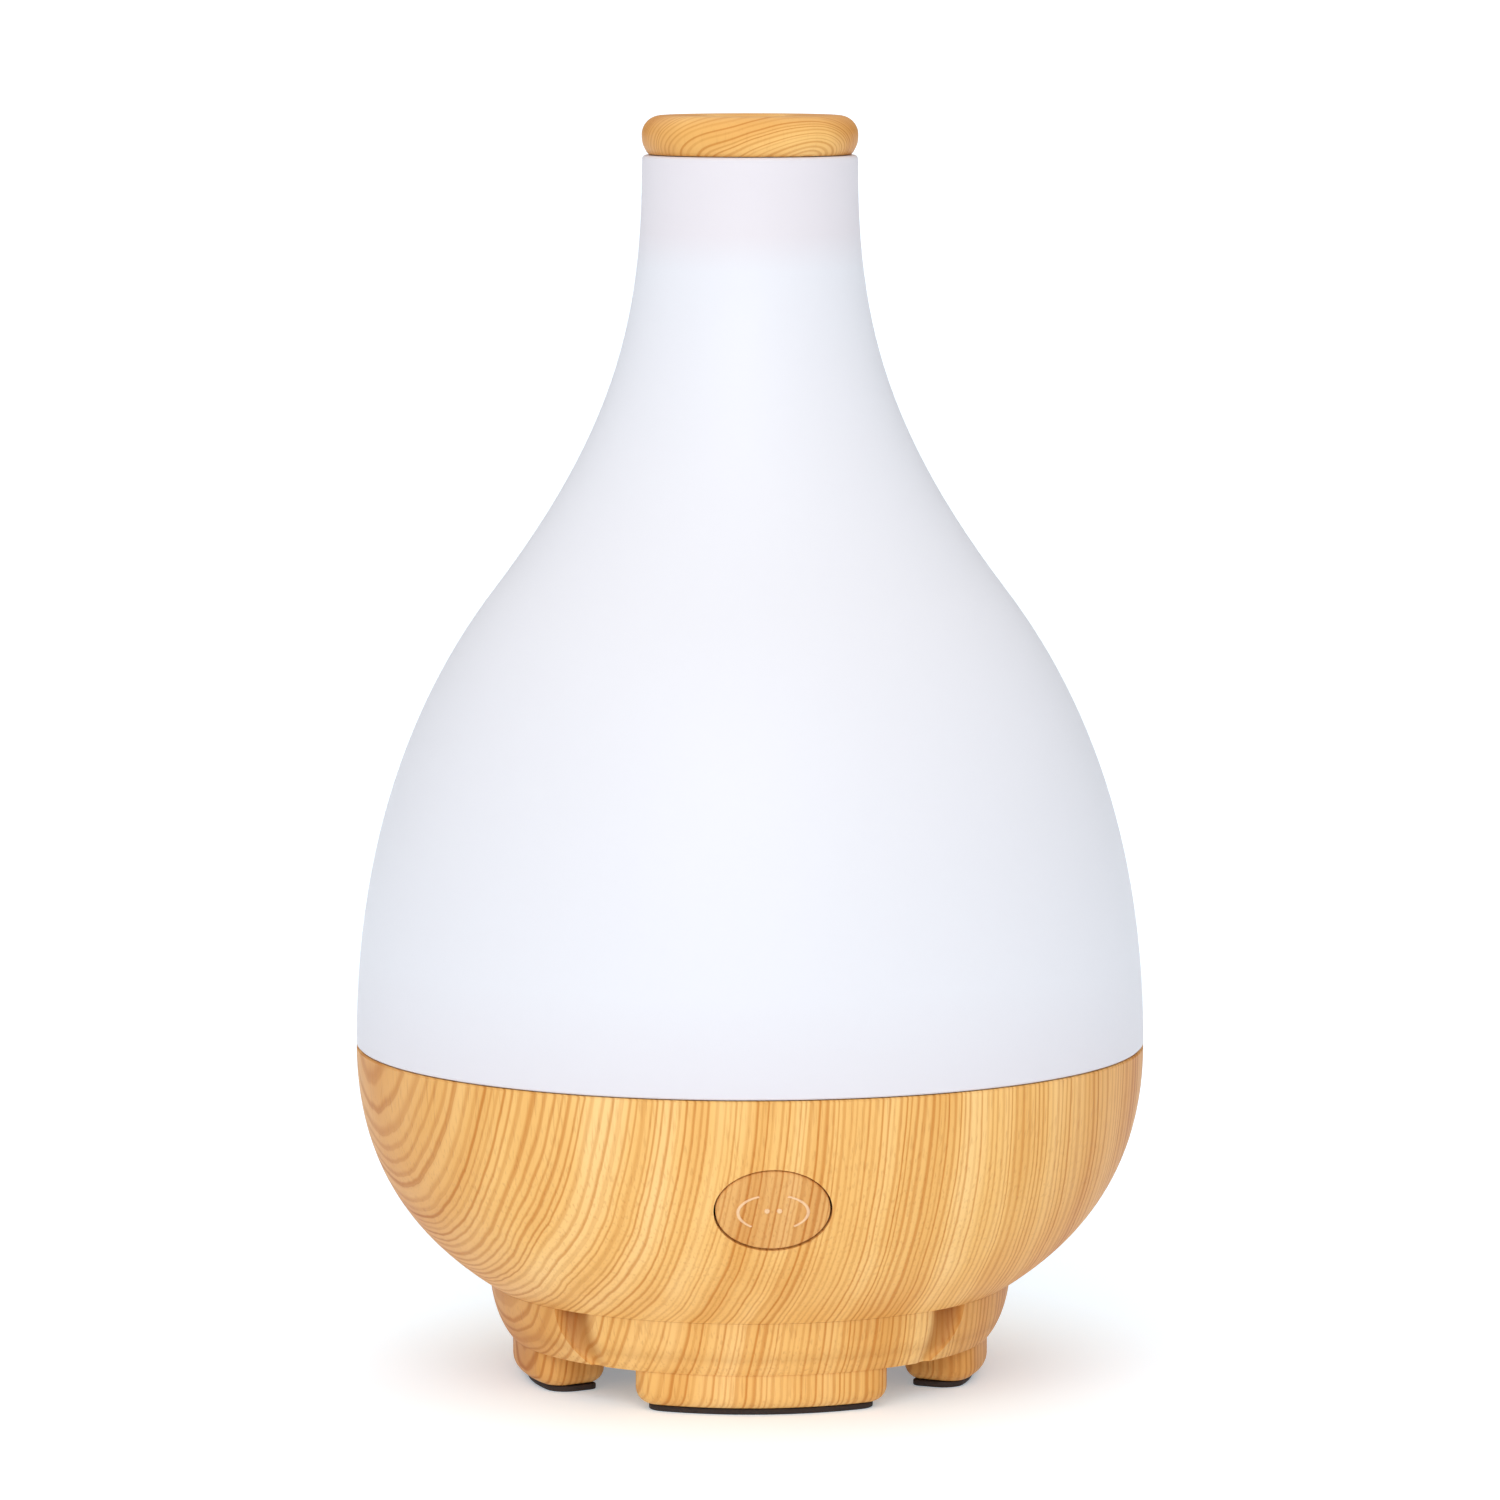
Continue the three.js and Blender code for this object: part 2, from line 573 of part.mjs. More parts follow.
function waterTank() {
  const round = Math.min(TANK_ROUND, flangeLow - TANK_FLOOR - 0.5);
  const corner = CREASE_RADIUS - TANK_FLAT_CLEAR;
  const reach = tankRadius - corner;
  const outerRound = new THREE.EllipseCurve(corner, TANK_FLOOR + round, reach, round, -Math.PI / 2, 0);
  const innerRound = new THREE.EllipseCurve(
    corner, TANK_FLOOR + round, reach - TANK_WALL, round - TANK_WALL, -Math.PI / 2, 0,
  );
  const lipOut = BELLY_RADIUS - LIP_CLEAR;
  let tank = turned([
    [WELL_RADIUS, bossLow + 2.6],
    [WELL_RADIUS, TANK_FLOOR + TANK_WALL - 1],
    [WELL_RADIUS + 2, TANK_FLOOR + TANK_WALL],
    ...innerRound.getPoints(4).map((at) => [at.x, at.y]),
    [tankRadius - TANK_WALL, flangeHigh],
    [lipOut - TANK_WALL, flangeHigh],
    [lipOut - TANK_WALL, SEAM_HEIGHT + LIP_RISE],
    [lipOut, SEAM_HEIGHT + LIP_RISE],
    [lipOut, SEAM_HEIGHT - 3.4],
    [BELLY_RADIUS - BOWL_WALL - REST_GAP, SEAM_HEIGHT - 3.4],
    [BELLY_RADIUS - BOWL_WALL - REST_GAP, flangeLow],
    [tankRadius, flangeLow],
    ...outerRound.getPoints(4).reverse().map((at) => [at.x, at.y]),
    [BOSS_RADIUS, TANK_FLOOR],
    [BOSS_RADIUS, bossLow],
    [DISC_RADIUS + 1.3, bossLow],
    [DISC_RADIUS + 1.3, bossLow + 2.6],
  ]);
  const duct = shifted(tube(DUCT_RADIUS, 0, TANK_FLOOR - 0.4, ductTop, 20), -FAN_OFFSET, 0);
  const bore = shifted(tube(DUCT_RADIUS - DUCT_WALL, 0, TANK_FLOOR - 5, ductTop + 5, 20), -FAN_OFFSET, 0);
  tank = tank.add(duct).subtract(bore);
  for (const angle of retainerAngles) {
    const [x, y] = around(retainerCircle, angle);
    tank = tank.subtract(shifted(tube(0.75, 0, bossLow - 1, bossLow + 3.2, 8), x, y));
  }
  return tank;
}
const retainerAngles = [30, 150, 270];
const retainerCircle = (BOSS_RADIUS + DISC_RADIUS + 1.3) / 2;
addPiece("water_tank", waterTank(), finishes.whitePlastic);

addPiece(
  "tank_seal_ring",
  tube(BELLY_RADIUS - BOWL_WALL - 0.6, tankRadius + 4.5, shelfHeight + 0.1, flangeLow - 0.1, WIDE),
  finishes.silicone,
);

// Ultrasonic disc in its silicone gasket, clamped from below by a retainer
const discLow = bossLow + 1.1;
addPiece("piezo_disc", tube(DISC_RADIUS - 0.7, 0, discLow, discLow + DISC_THICK), finishes.brass);

function piezoGasket() {
  const outer = DISC_RADIUS + 1;
  return turned([
    [WELL_RADIUS - 1, bossLow + 0.3], [outer, bossLow + 0.3], [outer, bossLow + 2.5],
    [DISC_RADIUS - 0.5, bossLow + 2.5], [DISC_RADIUS - 0.5, discLow - 0.1], [WELL_RADIUS - 1, discLow - 0.1],
  ], MIDDLE);
}
addPiece("piezo_gasket", piezoGasket(), finishes.silicone);

const retainerHigh = bossLow - 0.2;
function piezoRetainer() {
  let plate = tube(BOSS_RADIUS - 0.2, WELL_RADIUS - 2, retainerHigh - RETAINER_THICK, retainerHigh);
  for (const angle of retainerAngles) {
    const [x, y] = around(retainerCircle, angle);
    plate = plate.subtract(shifted(tube(0.95, 0, bossLow - 5, bossLow, 8), x, y));
  }
  return plate;
}
addPiece("piezo_retainer", piezoRetainer(), finishes.whitePlastic);

retainerAngles.forEach((angle, i) => {
  const [x, y] = around(retainerCircle, angle);
  const low = retainerHigh - RETAINER_THICK - 1.1;
  addScrew("retainer_screw_" + (i + 1), screw(1.7, 0.9, 0.6, 5), x, y, low);
});

// Hood over the duct: a round roof on three legs, which keeps drops out of the fan
function ductHood() {
  const outer = DUCT_RADIUS + 1.9;
  const inner = DUCT_RADIUS + 0.4;
  let hood = turned([
    [0, ductTop + 7], [outer - 3, ductTop + 7], [outer, ductTop + 4], [outer, ductTop - 6],
    [inner, ductTop - 6], [inner, ductTop + 3.4], [outer - 4, ductTop + 5.5], [0, ductTop + 5.5],
  ], 20);
  for (let i = 0; i < 3; i++) {
    hood = hood.subtract(block(30, 9, 3.4, 15, 0, ductTop + 1.4).rotate([0, 0, i * 120]));
  }
  return hood;
}
addPiece("duct_hood", shifted(ductHood(), -FAN_OFFSET, 0), finishes.whitePlastic);

// Splash lid: a dome standing on the tank's flange, with the mist chimney

function splashLid() {
  const outer = BELLY_RADIUS - LIP_CLEAR - TANK_WALL - SLIP;
  const foot = flangeHigh + REST_GAP;
  const spring = SEAM_HEIGHT + 3;
  const dome = (wall) =>
    new THREE.EllipseCurve(
      CHIMNEY_RADIUS, spring, outer - CHIMNEY_RADIUS - wall, DOME_RISE - wall, 0, Math.PI / 2,
    ).getPoints(5).map((at) => [at.x, at.y]);
  return turned([
    [outer - LID_WALL, foot],
    [outer, foot],
    ...dome(0),
    [CHIMNEY_RADIUS, spring + DOME_RISE - LID_WALL - 3],
    [CHIMNEY_RADIUS - LID_WALL, spring + DOME_RISE - LID_WALL - 3],
    [CHIMNEY_RADIUS - LID_WALL, spring + DOME_RISE - LID_WALL],
    ...dome(LID_WALL).reverse().slice(1),
  ]);
}
addPiece("splash_lid", splashLid(), finishes.clearLid);

function mistChimney() {
  const seat = SEAM_HEIGHT + 3 + DOME_RISE + REST_GAP;
  const outer = CHIMNEY_RADIUS - LID_WALL - 0.3;
  return turned([
    [outer - 1.5, seat - 9], [outer, seat - 9], [outer, seat], [CHIMNEY_RADIUS + 2, seat],
    [CHIMNEY_RADIUS + 2, seat + 1.2], [outer, seat + 2.4], [outer - 2.2, seat + CHIMNEY_HEIGHT],
    [outer - 3.6, seat + CHIMNEY_HEIGHT], [outer - 1.5, seat + 2.4],
  ], MIDDLE);
}
addPiece("mist_chimney", mistChimney(), finishes.clearLid);

// Fan under the duct: frame with its motor seat, rotor, stator and shaft

const fanGroup = new THREE.Group();
fanGroup.position.set(-FAN_OFFSET, 0, FAN_HEIGHT);
humidifier.add(fanGroup);
const fanMouth = FAN_SIDE / 2 - 1;

function fanFrame() {
  let frame = raised(rectangle(FAN_SIDE, FAN_SIDE, 2), 0, FAN_THICK, 3);
  frame = frame.subtract(tube(fanMouth, 0, -1, FAN_THICK + 1));
  frame = frame.add(tube(FAN_HUB, 0, 0, 1.2, 20));
  for (let i = 0; i < 3; i++) {
    frame = frame.add(block(fanMouth + 0.5, 1.6, 1.2, fanMouth / 2, 0, 0.6).rotate([0, 0, 30 + i * 120]));
  }
  for (const [x, y] of [[-fanCorner, fanCorner], [fanCorner, -fanCorner]]) {
    frame = frame.subtract(shifted(tube(1.5, 0, -1, FAN_THICK + 1, 10), x, y));
  }
  return frame.subtract(tube(0.9, 0, 0.6, 3, 10));
}
addPiece("fan_frame", fanFrame(), finishes.blackPlastic, fanGroup);

function fanRotor() {
  const low = 1.8;
  const high = FAN_THICK - 0.6;
  let rotor = turned([
    [FAN_HUB, low], [FAN_HUB, high], [0.8, high], [0.8, high - 1.2], [FAN_HUB - 1, high - 1.2], [FAN_HUB - 1, low],
  ], 20);
  const reach = fanMouth - 0.7 - FAN_HUB + 0.5;
  for (let i = 0; i < BLADES; i++) {
    const blade = block(reach, 1, 6.4, 0, 0, 0)
      .rotate([38, 0, 0])
      .translate([FAN_HUB - 0.5 + reach / 2, 0, (low + high) / 2]);
    rotor = rotor.add(blade.rotate([0, 0, (i * 360) / BLADES]));
  }
  return rotor;
}
addPiece("fan_rotor", fanRotor(), finishes.blackPlastic, fanGroup);
addPiece("fan_stator", tube(FAN_HUB - 1.4, 1.2, 1.5, FAN_THICK - 2.4, 20), finishes.copper, fanGroup);
addPiece("fan_shaft", tube(0.6, 0, 0.8, FAN_THICK - 0.6, 10), finishes.steel, fanGroup);

fanHoles.forEach(([x, y], i) => {
  const high = FAN_HEIGHT + FAN_THICK + 1.7;
  addScrew("fan_screw_" + (i + 1), screw(2.1, 1.4, 0.95, 11.6), x, y, high, true);
});

// Funnel from the fan's mouth to the duct
function airFunnel() {
  const low = FAN_HEIGHT + FAN_THICK + REST_GAP;
  const high = TANK_FLOOR - 0.4 - REST_GAP;
  const wide = fanMouth + 0.4;
  const slim = DUCT_RADIUS;
  return shifted(turned([
    [wide - 1.2, low], [wide, low], [wide, low + 1], [slim, high - 1.5], [slim, high],
    [slim - 1.4, high], [slim - 1.4, high - 1.5], [wide - 1.2, low + 1],
  ], 24), -FAN_OFFSET, 0);
}
addPiece("air_funnel", airFunnel(), finishes.whitePlastic);

// Main board and what stands on it

function mainBoard() {
  const start = Math.asin(8 / MAIN_BOARD_RADIUS);
  const outline = new THREE.Shape();
  outline.absarc(0, 0, MAIN_BOARD_RADIUS, -Math.PI / 2 - start, Math.PI / 2 + start, false);
  let board = raised(outline, MAIN_BOARD_HEIGHT, MAIN_BOARD_HEIGHT + MAIN_BOARD_THICK, 20);
  for (const [x, y] of boardHoles) {
    board = board.subtract(shifted(tube(1.5, 0, MAIN_BOARD_HEIGHT - 1, MAIN_BOARD_HEIGHT + 4, 10), x, y));
  }
  return board;
}
addPiece("main_board", mainBoard(), finishes.circuitBoard);

const onBoard = MAIN_BOARD_HEIGHT + MAIN_BOARD_THICK + 0.1;
const boardScrewLow = MAIN_BOARD_HEIGHT + MAIN_BOARD_THICK + 1.3;
boardHoles.forEach(([x, y], i) => {
  addScrew("board_screw_" + (i + 1), screw(2.1, 1.2, 0.95, 4.4), x, y, boardScrewLow, true);
});

function heatSink() {
  let sink = block(14, 2, 9, 0, 0, onBoard + 4.5);
  for (let i = 0; i < 5; i++) sink = sink.add(block(1, 6, 9, -6.5 + i * 3.25, 3, onBoard + 4.5));
  return shifted(sink, 16, 17);
}
addPiece("heat_sink", heatSink(), finishes.aluminium);
addPiece("power_transistor", block(8, 3, 7.6, 16, 14.2, onBoard + 3.8), finishes.blackPlastic);

function chokeCoil() {
  return shifted(turned([
    [0, onBoard], [4.6, onBoard], [4.6, onBoard + 1], [3.8, onBoard + 1], [3.8, onBoard + 6],
    [4.6, onBoard + 6], [4.6, onBoard + 7], [0, onBoard + 7],
  ], 20), 23, -10);
}
addPiece("choke_coil", chokeCoil(), finishes.copper);
addPiece("filter_capacitor", shifted(tube(4, 0, onBoard, onBoard + 9, 20), 9, -23), finishes.sleeve);
addPiece("control_chip", block(10, 6, 1.8, 8, 2, onBoard + 0.9), finishes.blackPlastic);
addPiece("fan_plug", block(5, 7, 5.5, -4, 15, onBoard + 2.75), finishes.whitePlastic);

// Light board: a C-shaped board under the tank's floor, open where the duct stands
const ledHeight = TANK_FLOOR - 3.6;
addPiece(
  "light_board",
  raised(ringPiece(BOSS_RADIUS + 2, LED_CIRCLE + 4.5, 90 - LED_SPREAD / 2 - 12, 90 + LED_SPREAD / 2 + 12),
    ledHeight, ledHeight + 1.2, 20),
  finishes.circuitBoard,
);
for (let i = 0; i < LED_COUNT; i++) {
  const angle = 90 - LED_SPREAD / 2 + (i * LED_SPREAD) / (LED_COUNT - 1);
  const lamp = block(3.5, 2.8, 1.6, 0, -LED_CIRCLE, ledHeight + 1.2 + 0.9).rotate([0, 0, angle]);
  addPiece("lamp_" + (i + 1), lamp, finishes.lamp);
}

// Button, its switch and the switch board, in the button's frame

const switchLow = REST_GAP - BOARD_DEPTH;
const switchHigh = switchLow + SWITCH_BODY;
const buttonForm = moved(bowlForm(0), intoButton);
const insideBowl = moved(bowlForm(BOWL_WALL + REST_GAP / 2), intoButton);

function buttonCap() {
  const grown = (by) => oval(BUTTON_HALF_WIDTH + by, BUTTON_HALF_HEIGHT + by);
  const face = raised(grown(0), -BUTTON_FACE - 1.6, 4, 12);
  const skirtDepth = -4.6;
  const skirt = raised(grown(0), skirtDepth, -BUTTON_FACE, 12);
  const hollow = raised(grown(-1.2), skirtDepth - 1, -BUTTON_FACE, 12);
  const flange = raised(grown(1.3), skirtDepth, skirtDepth + 0.8, 12)
    .subtract(raised(grown(-1.2), -6, 0, 12))
    .intersect(insideBowl);
  const stem = tube(1.6, 0, switchHigh + 0.9, -BUTTON_FACE + 0.4, SMALL);
  return face.add(skirt).subtract(hollow).intersect(buttonForm).add(flange).add(stem);
}
addPiece("button_cap", buttonCap(), finishes.buttonWood, buttonGroup);
addPiece(
  "switch_plunger",
  tube(1.4, 0, switchHigh - 0.4, switchHigh + 0.6, SMALL),
  finishes.blackPlastic,
  buttonGroup,
);

function pushSwitch() {
  const body = block(SWITCH_SIDE, SWITCH_SIDE, SWITCH_BODY, 0, 0, (switchLow + switchHigh) / 2);
  return body.subtract(tube(1.8, 0, switchHigh - 1.4, switchHigh + 1, SMALL));
}
addPiece("push_switch", pushSwitch(), finishes.steel, buttonGroup);
addPiece(
  "switch_board",
  block(2 * STUD_OFFSET + 4, 11, BOARD_THICK, 0, 0, -BOARD_DEPTH - BOARD_THICK / 2),
  finishes.circuitBoard,
  buttonGroup,
);

// Power socket in its shroud at the rear, with its centre pin
const jackStart = jackFace - JACK_LENGTH;
function powerSocket() {
  const body = block(JACK_SIDE, JACK_LENGTH, JACK_SIDE, 0, jackStart + JACK_LENGTH / 2, JACK_HEIGHT);
  const turnBack = (solid) => solid.rotate([-90, 0, 0]).translate([0, 0, JACK_HEIGHT]);
  const bore = turnBack(tube(3.1, 0, jackStart + 2.5, jackFace + 1, 20));
  const pin = turnBack(tube(1, 0, jackStart + 2, jackFace - 1, 10));
  return body.subtract(bore).add(pin);
}
addPiece("power_socket", powerSocket(), finishes.blackPlastic);

// Leads between the boards: round tubes along smooth curves
function lead(name, places, radius, material) {
  const path = new THREE.CatmullRomCurve3(places.map((at) => new THREE.Vector3(...at)));
  const section = new THREE.Shape();
  section.absarc(0, 0, radius, 0, Math.PI * 2);
  const geometry = new THREE.ExtrudeGeometry(section, {
    steps: 8, curveSegments: 4, bevelEnabled: false, extrudePath: path,
  });
  addPiece(name, solidOf(geometry), material);
}
lead(
  "socket_lead",
  [[0, jackStart - 0.4, 24], [0, jackStart - 4, 23.5], [0, 32.5, 19], [0, 30.5, onBoard + 0.3]],
  0.8,
  finishes.cableRed,
);
lead(
  "disc_lead",
  [[-2, -2, bossLow + 0.6], [-2.5, -2.6, 22], [-2, -6, 18.5], [-1, -9, onBoard + 0.3]],
  0.7,
  finishes.cableWhite,
);
lead(
  "light_lead",
  [[17, -14, ledHeight - 0.4], [17, -15, 22], [16, -17, 18.5], [16, -18, onBoard + 0.3]],
  0.7,
  finishes.cableWhite,
);

export default humidifier;
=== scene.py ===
import json
import math

import bmesh
import bpy
from mathutils import Matrix, Vector


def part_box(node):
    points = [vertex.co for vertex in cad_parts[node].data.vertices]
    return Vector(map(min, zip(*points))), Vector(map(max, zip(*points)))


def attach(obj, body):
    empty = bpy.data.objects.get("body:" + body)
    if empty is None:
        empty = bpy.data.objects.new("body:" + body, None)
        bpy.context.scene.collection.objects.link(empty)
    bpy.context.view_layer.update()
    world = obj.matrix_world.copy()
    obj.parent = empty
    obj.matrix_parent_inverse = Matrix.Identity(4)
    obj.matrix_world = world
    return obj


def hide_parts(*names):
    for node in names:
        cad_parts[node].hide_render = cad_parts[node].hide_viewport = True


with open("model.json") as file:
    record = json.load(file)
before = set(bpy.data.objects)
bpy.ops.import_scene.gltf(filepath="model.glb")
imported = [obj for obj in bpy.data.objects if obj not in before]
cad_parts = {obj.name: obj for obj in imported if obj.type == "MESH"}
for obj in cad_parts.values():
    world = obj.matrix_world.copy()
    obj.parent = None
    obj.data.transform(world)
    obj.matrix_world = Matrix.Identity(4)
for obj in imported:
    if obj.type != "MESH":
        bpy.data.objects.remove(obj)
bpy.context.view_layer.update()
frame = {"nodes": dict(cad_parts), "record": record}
nodes = frame["nodes"]

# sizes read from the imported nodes
coverLow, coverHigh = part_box("outer_cover")
capLow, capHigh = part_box("mist_cap")
plugLow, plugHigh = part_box("cap_plug")
bellyRadius = coverHigh[0]
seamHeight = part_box("base_bowl")[1][2]
rimHeight = coverHigh[2]
print("frame loaded, belly radius", round(bellyRadius, 4))


# camera and studio

camera = {
    "distance": 1.37, "height": 0.26428, "turn": -3.4, "tiltDown": 6.181,
    "lens": 179.96, "sensor": 36.0, "near": 0.05, "far": 200,
}


def makeCamera():
    turn = math.radians(camera["turn"])
    place = (camera["distance"] * math.sin(turn), -camera["distance"] * math.cos(turn), camera["height"])
    bpy.ops.object.camera_add(location=place, rotation=(math.radians(90 - camera["tiltDown"]), 0, turn))
    made = bpy.context.object
    made.data.lens = camera["lens"]
    made.data.sensor_width = camera["sensor"]
    made.data.clip_start = camera["near"]
    made.data.clip_end = camera["far"]
    bpy.context.scene.camera = made


studio = {
    "floor": (0.92, 0.95, 0.98), "floorSize": 120, "floorRough": 0.95, "floorGlow": 0.29,
    "glowTint": (0.63, 0.84, 1), "skyLow": 0.10, "skyHigh": 1.12, "skyFrom": 0.05, "skyTo": 0.9,
    "sunPower": 1.3, "sunTurn": -10.0, "sunHeight": 30.0, "sunSpread": 50.0,
}


def makeSky():
    # dimmer round the horizon than overhead, so upright edges fall off softly
    world = bpy.data.worlds.new("studioSky")
    world.use_nodes = True
    tree = world.node_tree
    toward = tree.nodes.new("ShaderNodeTexCoord")
    split = tree.nodes.new("ShaderNodeSeparateXYZ")
    fade = tree.nodes.new("ShaderNodeMapRange")
    fade.inputs["From Min"].default_value = studio["skyFrom"]
    fade.inputs["From Max"].default_value = studio["skyTo"]
    fade.inputs["To Min"].default_value = studio["skyLow"]
    fade.inputs["To Max"].default_value = studio["skyHigh"]
    tree.links.new(toward.outputs["Generated"], split.inputs["Vector"])
    tree.links.new(split.outputs["Z"], fade.inputs["Value"])
    tree.links.new(fade.outputs["Result"], tree.nodes["Background"].inputs["Strength"])
    tree.nodes["Background"].inputs["Color"].default_value = (1, 1, 1, 1)
    bpy.context.scene.world = world


def makeStudio():
    makeSky()
    bpy.context.scene.view_settings.view_transform = "Standard"
    turn, height = math.radians(studio["sunTurn"]), math.radians(studio["sunHeight"])
    place = Vector((math.sin(turn) * math.cos(height), -math.cos(turn) * math.cos(height),
                    math.sin(height)))
    bpy.ops.object.light_add(type="SUN", location=place * 2)
    sun = bpy.context.object
    sun.name = "frontLight"
    sun.data.energy = studio["sunPower"]
    sun.data.angle = math.radians(studio["sunSpread"])
    sun.rotation_euler = (-place).to_track_quat("-Z", "Y").to_euler()
    bpy.ops.mesh.primitive_plane_add(size=studio["floorSize"], location=(0, 0, 0))
    floor = bpy.context.object
    floor.name = "studioFloor"
    paint = bpy.data.materials.new("floorPaint")
    paint.use_nodes = True
    shader = paint.node_tree.nodes["Principled BSDF"]
    shader.inputs["Base Color"].default_value = (*studio["floor"], 1)
    shader.inputs["Roughness"].default_value = studio["floorRough"]
    shader.inputs["Specular IOR Level"].default_value = 0.0
    shader.inputs["Emission Color"].default_value = (*studio["glowTint"], 1)
    shader.inputs["Emission Strength"].default_value = studio["floorGlow"]
    floor.data.materials.append(paint)


makeCamera()
makeStudio()
print("camera and studio ready")


# small helpers for shaping

def pickNone():
    if bpy.context.object and bpy.context.object.mode != "OBJECT":
        bpy.ops.object.mode_set(mode="OBJECT")
    bpy.ops.object.select_all(action="DESELECT")


def pick(piece):
    pickNone()
    piece.select_set(True)
    bpy.context.view_layer.objects.active = piece


def editAll():
    # edit mode on the active object, with all of it selected
    bpy.ops.object.mode_set(mode="EDIT")
    bpy.ops.mesh.select_all(action="SELECT")


def faceOut(piece):
    # turns all faces to the outside
    pick(piece)
    editAll()
    bpy.ops.mesh.normals_make_consistent(inside=False)
    bpy.ops.object.mode_set(mode="OBJECT")


def curvePoints(ends, steps):
    # a cubic through its two ends, bent by the two handles between them
    a, b, c, d = (Vector(end) for end in ends)
    found = []
    for i in range(steps + 1):
        t = i / steps
        found.append(a * (1 - t) ** 3 + b * 3 * t * (1 - t) ** 2 + c * 3 * t * t * (1 - t) + d * t ** 3)
    return found


def arcPoints(centre, radii, start, end, steps):
    # part of an ellipse round its centre, from one angle to another
    found = []
    for i in range(steps + 1):
        angle = math.radians(start + (end - start) * i / steps)
        found.append(Vector((centre[0] + radii[0] * math.cos(angle),
                             centre[1] + radii[1] * math.sin(angle))))
    return found


def inwards(points, wall):
    # the same line moved in by a wall
    found = []
    for i, at in enumerate(points):
        along = (points[min(i + 1, len(points) - 1)] - points[max(i - 1, 0)]).normalized()
        found.append(at + Vector((-along.y, along.x)) * wall)
    return found


def radiusAt(line, height):
    # the radius at a height of an outline that rises all the way
    for here, there in zip(line, line[1:]):
        if here.y <= height <= there.y:
            return here.x + (there.x - here.x) * (height - here.y) / (there.y - here.y)
    return line[0].x if height < line[0].y else line[-1].x


def boxBar(name, low, high):
    pickNone()
    middle = [(a + b) / 2 for a, b in zip(low, high)]
    bpy.ops.mesh.primitive_cube_add(size=1, location=middle)
    bar = bpy.context.object
    bar.name = name
    bar.scale = [b - a for a, b in zip(low, high)]
    bpy.ops.object.transform_apply(location=True, rotation=True, scale=True)
    return bar


def tubeBar(name, radius, low, high, x=0.0, y=0.0, sides=64):
    pickNone()
    middle = (x, y, (low + high) / 2)
    bpy.ops.mesh.primitive_cylinder_add(vertices=sides, radius=radius, depth=high - low, location=middle)
    bar = bpy.context.object
    bar.name = name
    return bar


def spinOutline(name, outline, steps):
    # a single point is drawn along the outline, then the line is spun round the upright axis; an outline
    # that starts away from the axis is closed first
    outline = [Vector(point) for point in outline]
    if outline[0][0] > 0:
        outline.append(outline[0])
    pickNone()
    bpy.ops.mesh.primitive_plane_add(size=0.001, location=(0, 0, 0))
    piece = bpy.context.object
    piece.name = name
    editAll()
    bpy.ops.mesh.merge(type="CENTER")
    bpy.ops.transform.translate(value=(0, -outline[0][0], outline[0][1]))
    for here, there in zip(outline, outline[1:]):
        step = (0, here[0] - there[0], there[1] - here[1])
        bpy.ops.mesh.extrude_region_move(TRANSFORM_OT_translate={"value": step})
    bpy.ops.mesh.select_all(action="SELECT")
    bpy.ops.mesh.spin(steps=steps, angle=math.tau, center=(0, 0, 0), axis=(0, 0, 1))
    bpy.ops.mesh.select_all(action="SELECT")
    bpy.ops.mesh.remove_doubles(threshold=1e-6)
    faceOut(piece)
    return piece


def smooth(piece, angle=35):
    pick(piece)
    bpy.ops.object.shade_smooth_by_angle(angle=math.radians(angle))


def combine(piece, tool, how):
    pick(piece)
    change = piece.modifiers.new("combine", "BOOLEAN")
    change.operation = how
    change.solver = "EXACT"
    change.object = tool
    bpy.ops.object.modifier_apply(modifier=change.name)
    bpy.data.objects.remove(tool)


def roundEdges(piece, width, segments=3, angle=40):
    pick(piece)
    change = piece.modifiers.new("rounding", "BEVEL")
    change.width = width
    change.segments = segments
    change.limit_method = "ANGLE"
    change.angle_limit = math.radians(angle)
    bpy.ops.object.modifier_apply(modifier=change.name)


def settle(piece, body, replaced, paint):
    # gives a finished piece its finish, its body, the nodes it stands in for and its slot
    pick(piece)
    bpy.ops.object.transform_apply(location=True, rotation=True, scale=True)
    piece.data.materials.clear()
    piece.data.materials.append(paint)
    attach(piece, body)
    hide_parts(*replaced)
    print("made", piece.name, len(piece.data.polygons), "faces")
    return piece


# nodes for the finishes

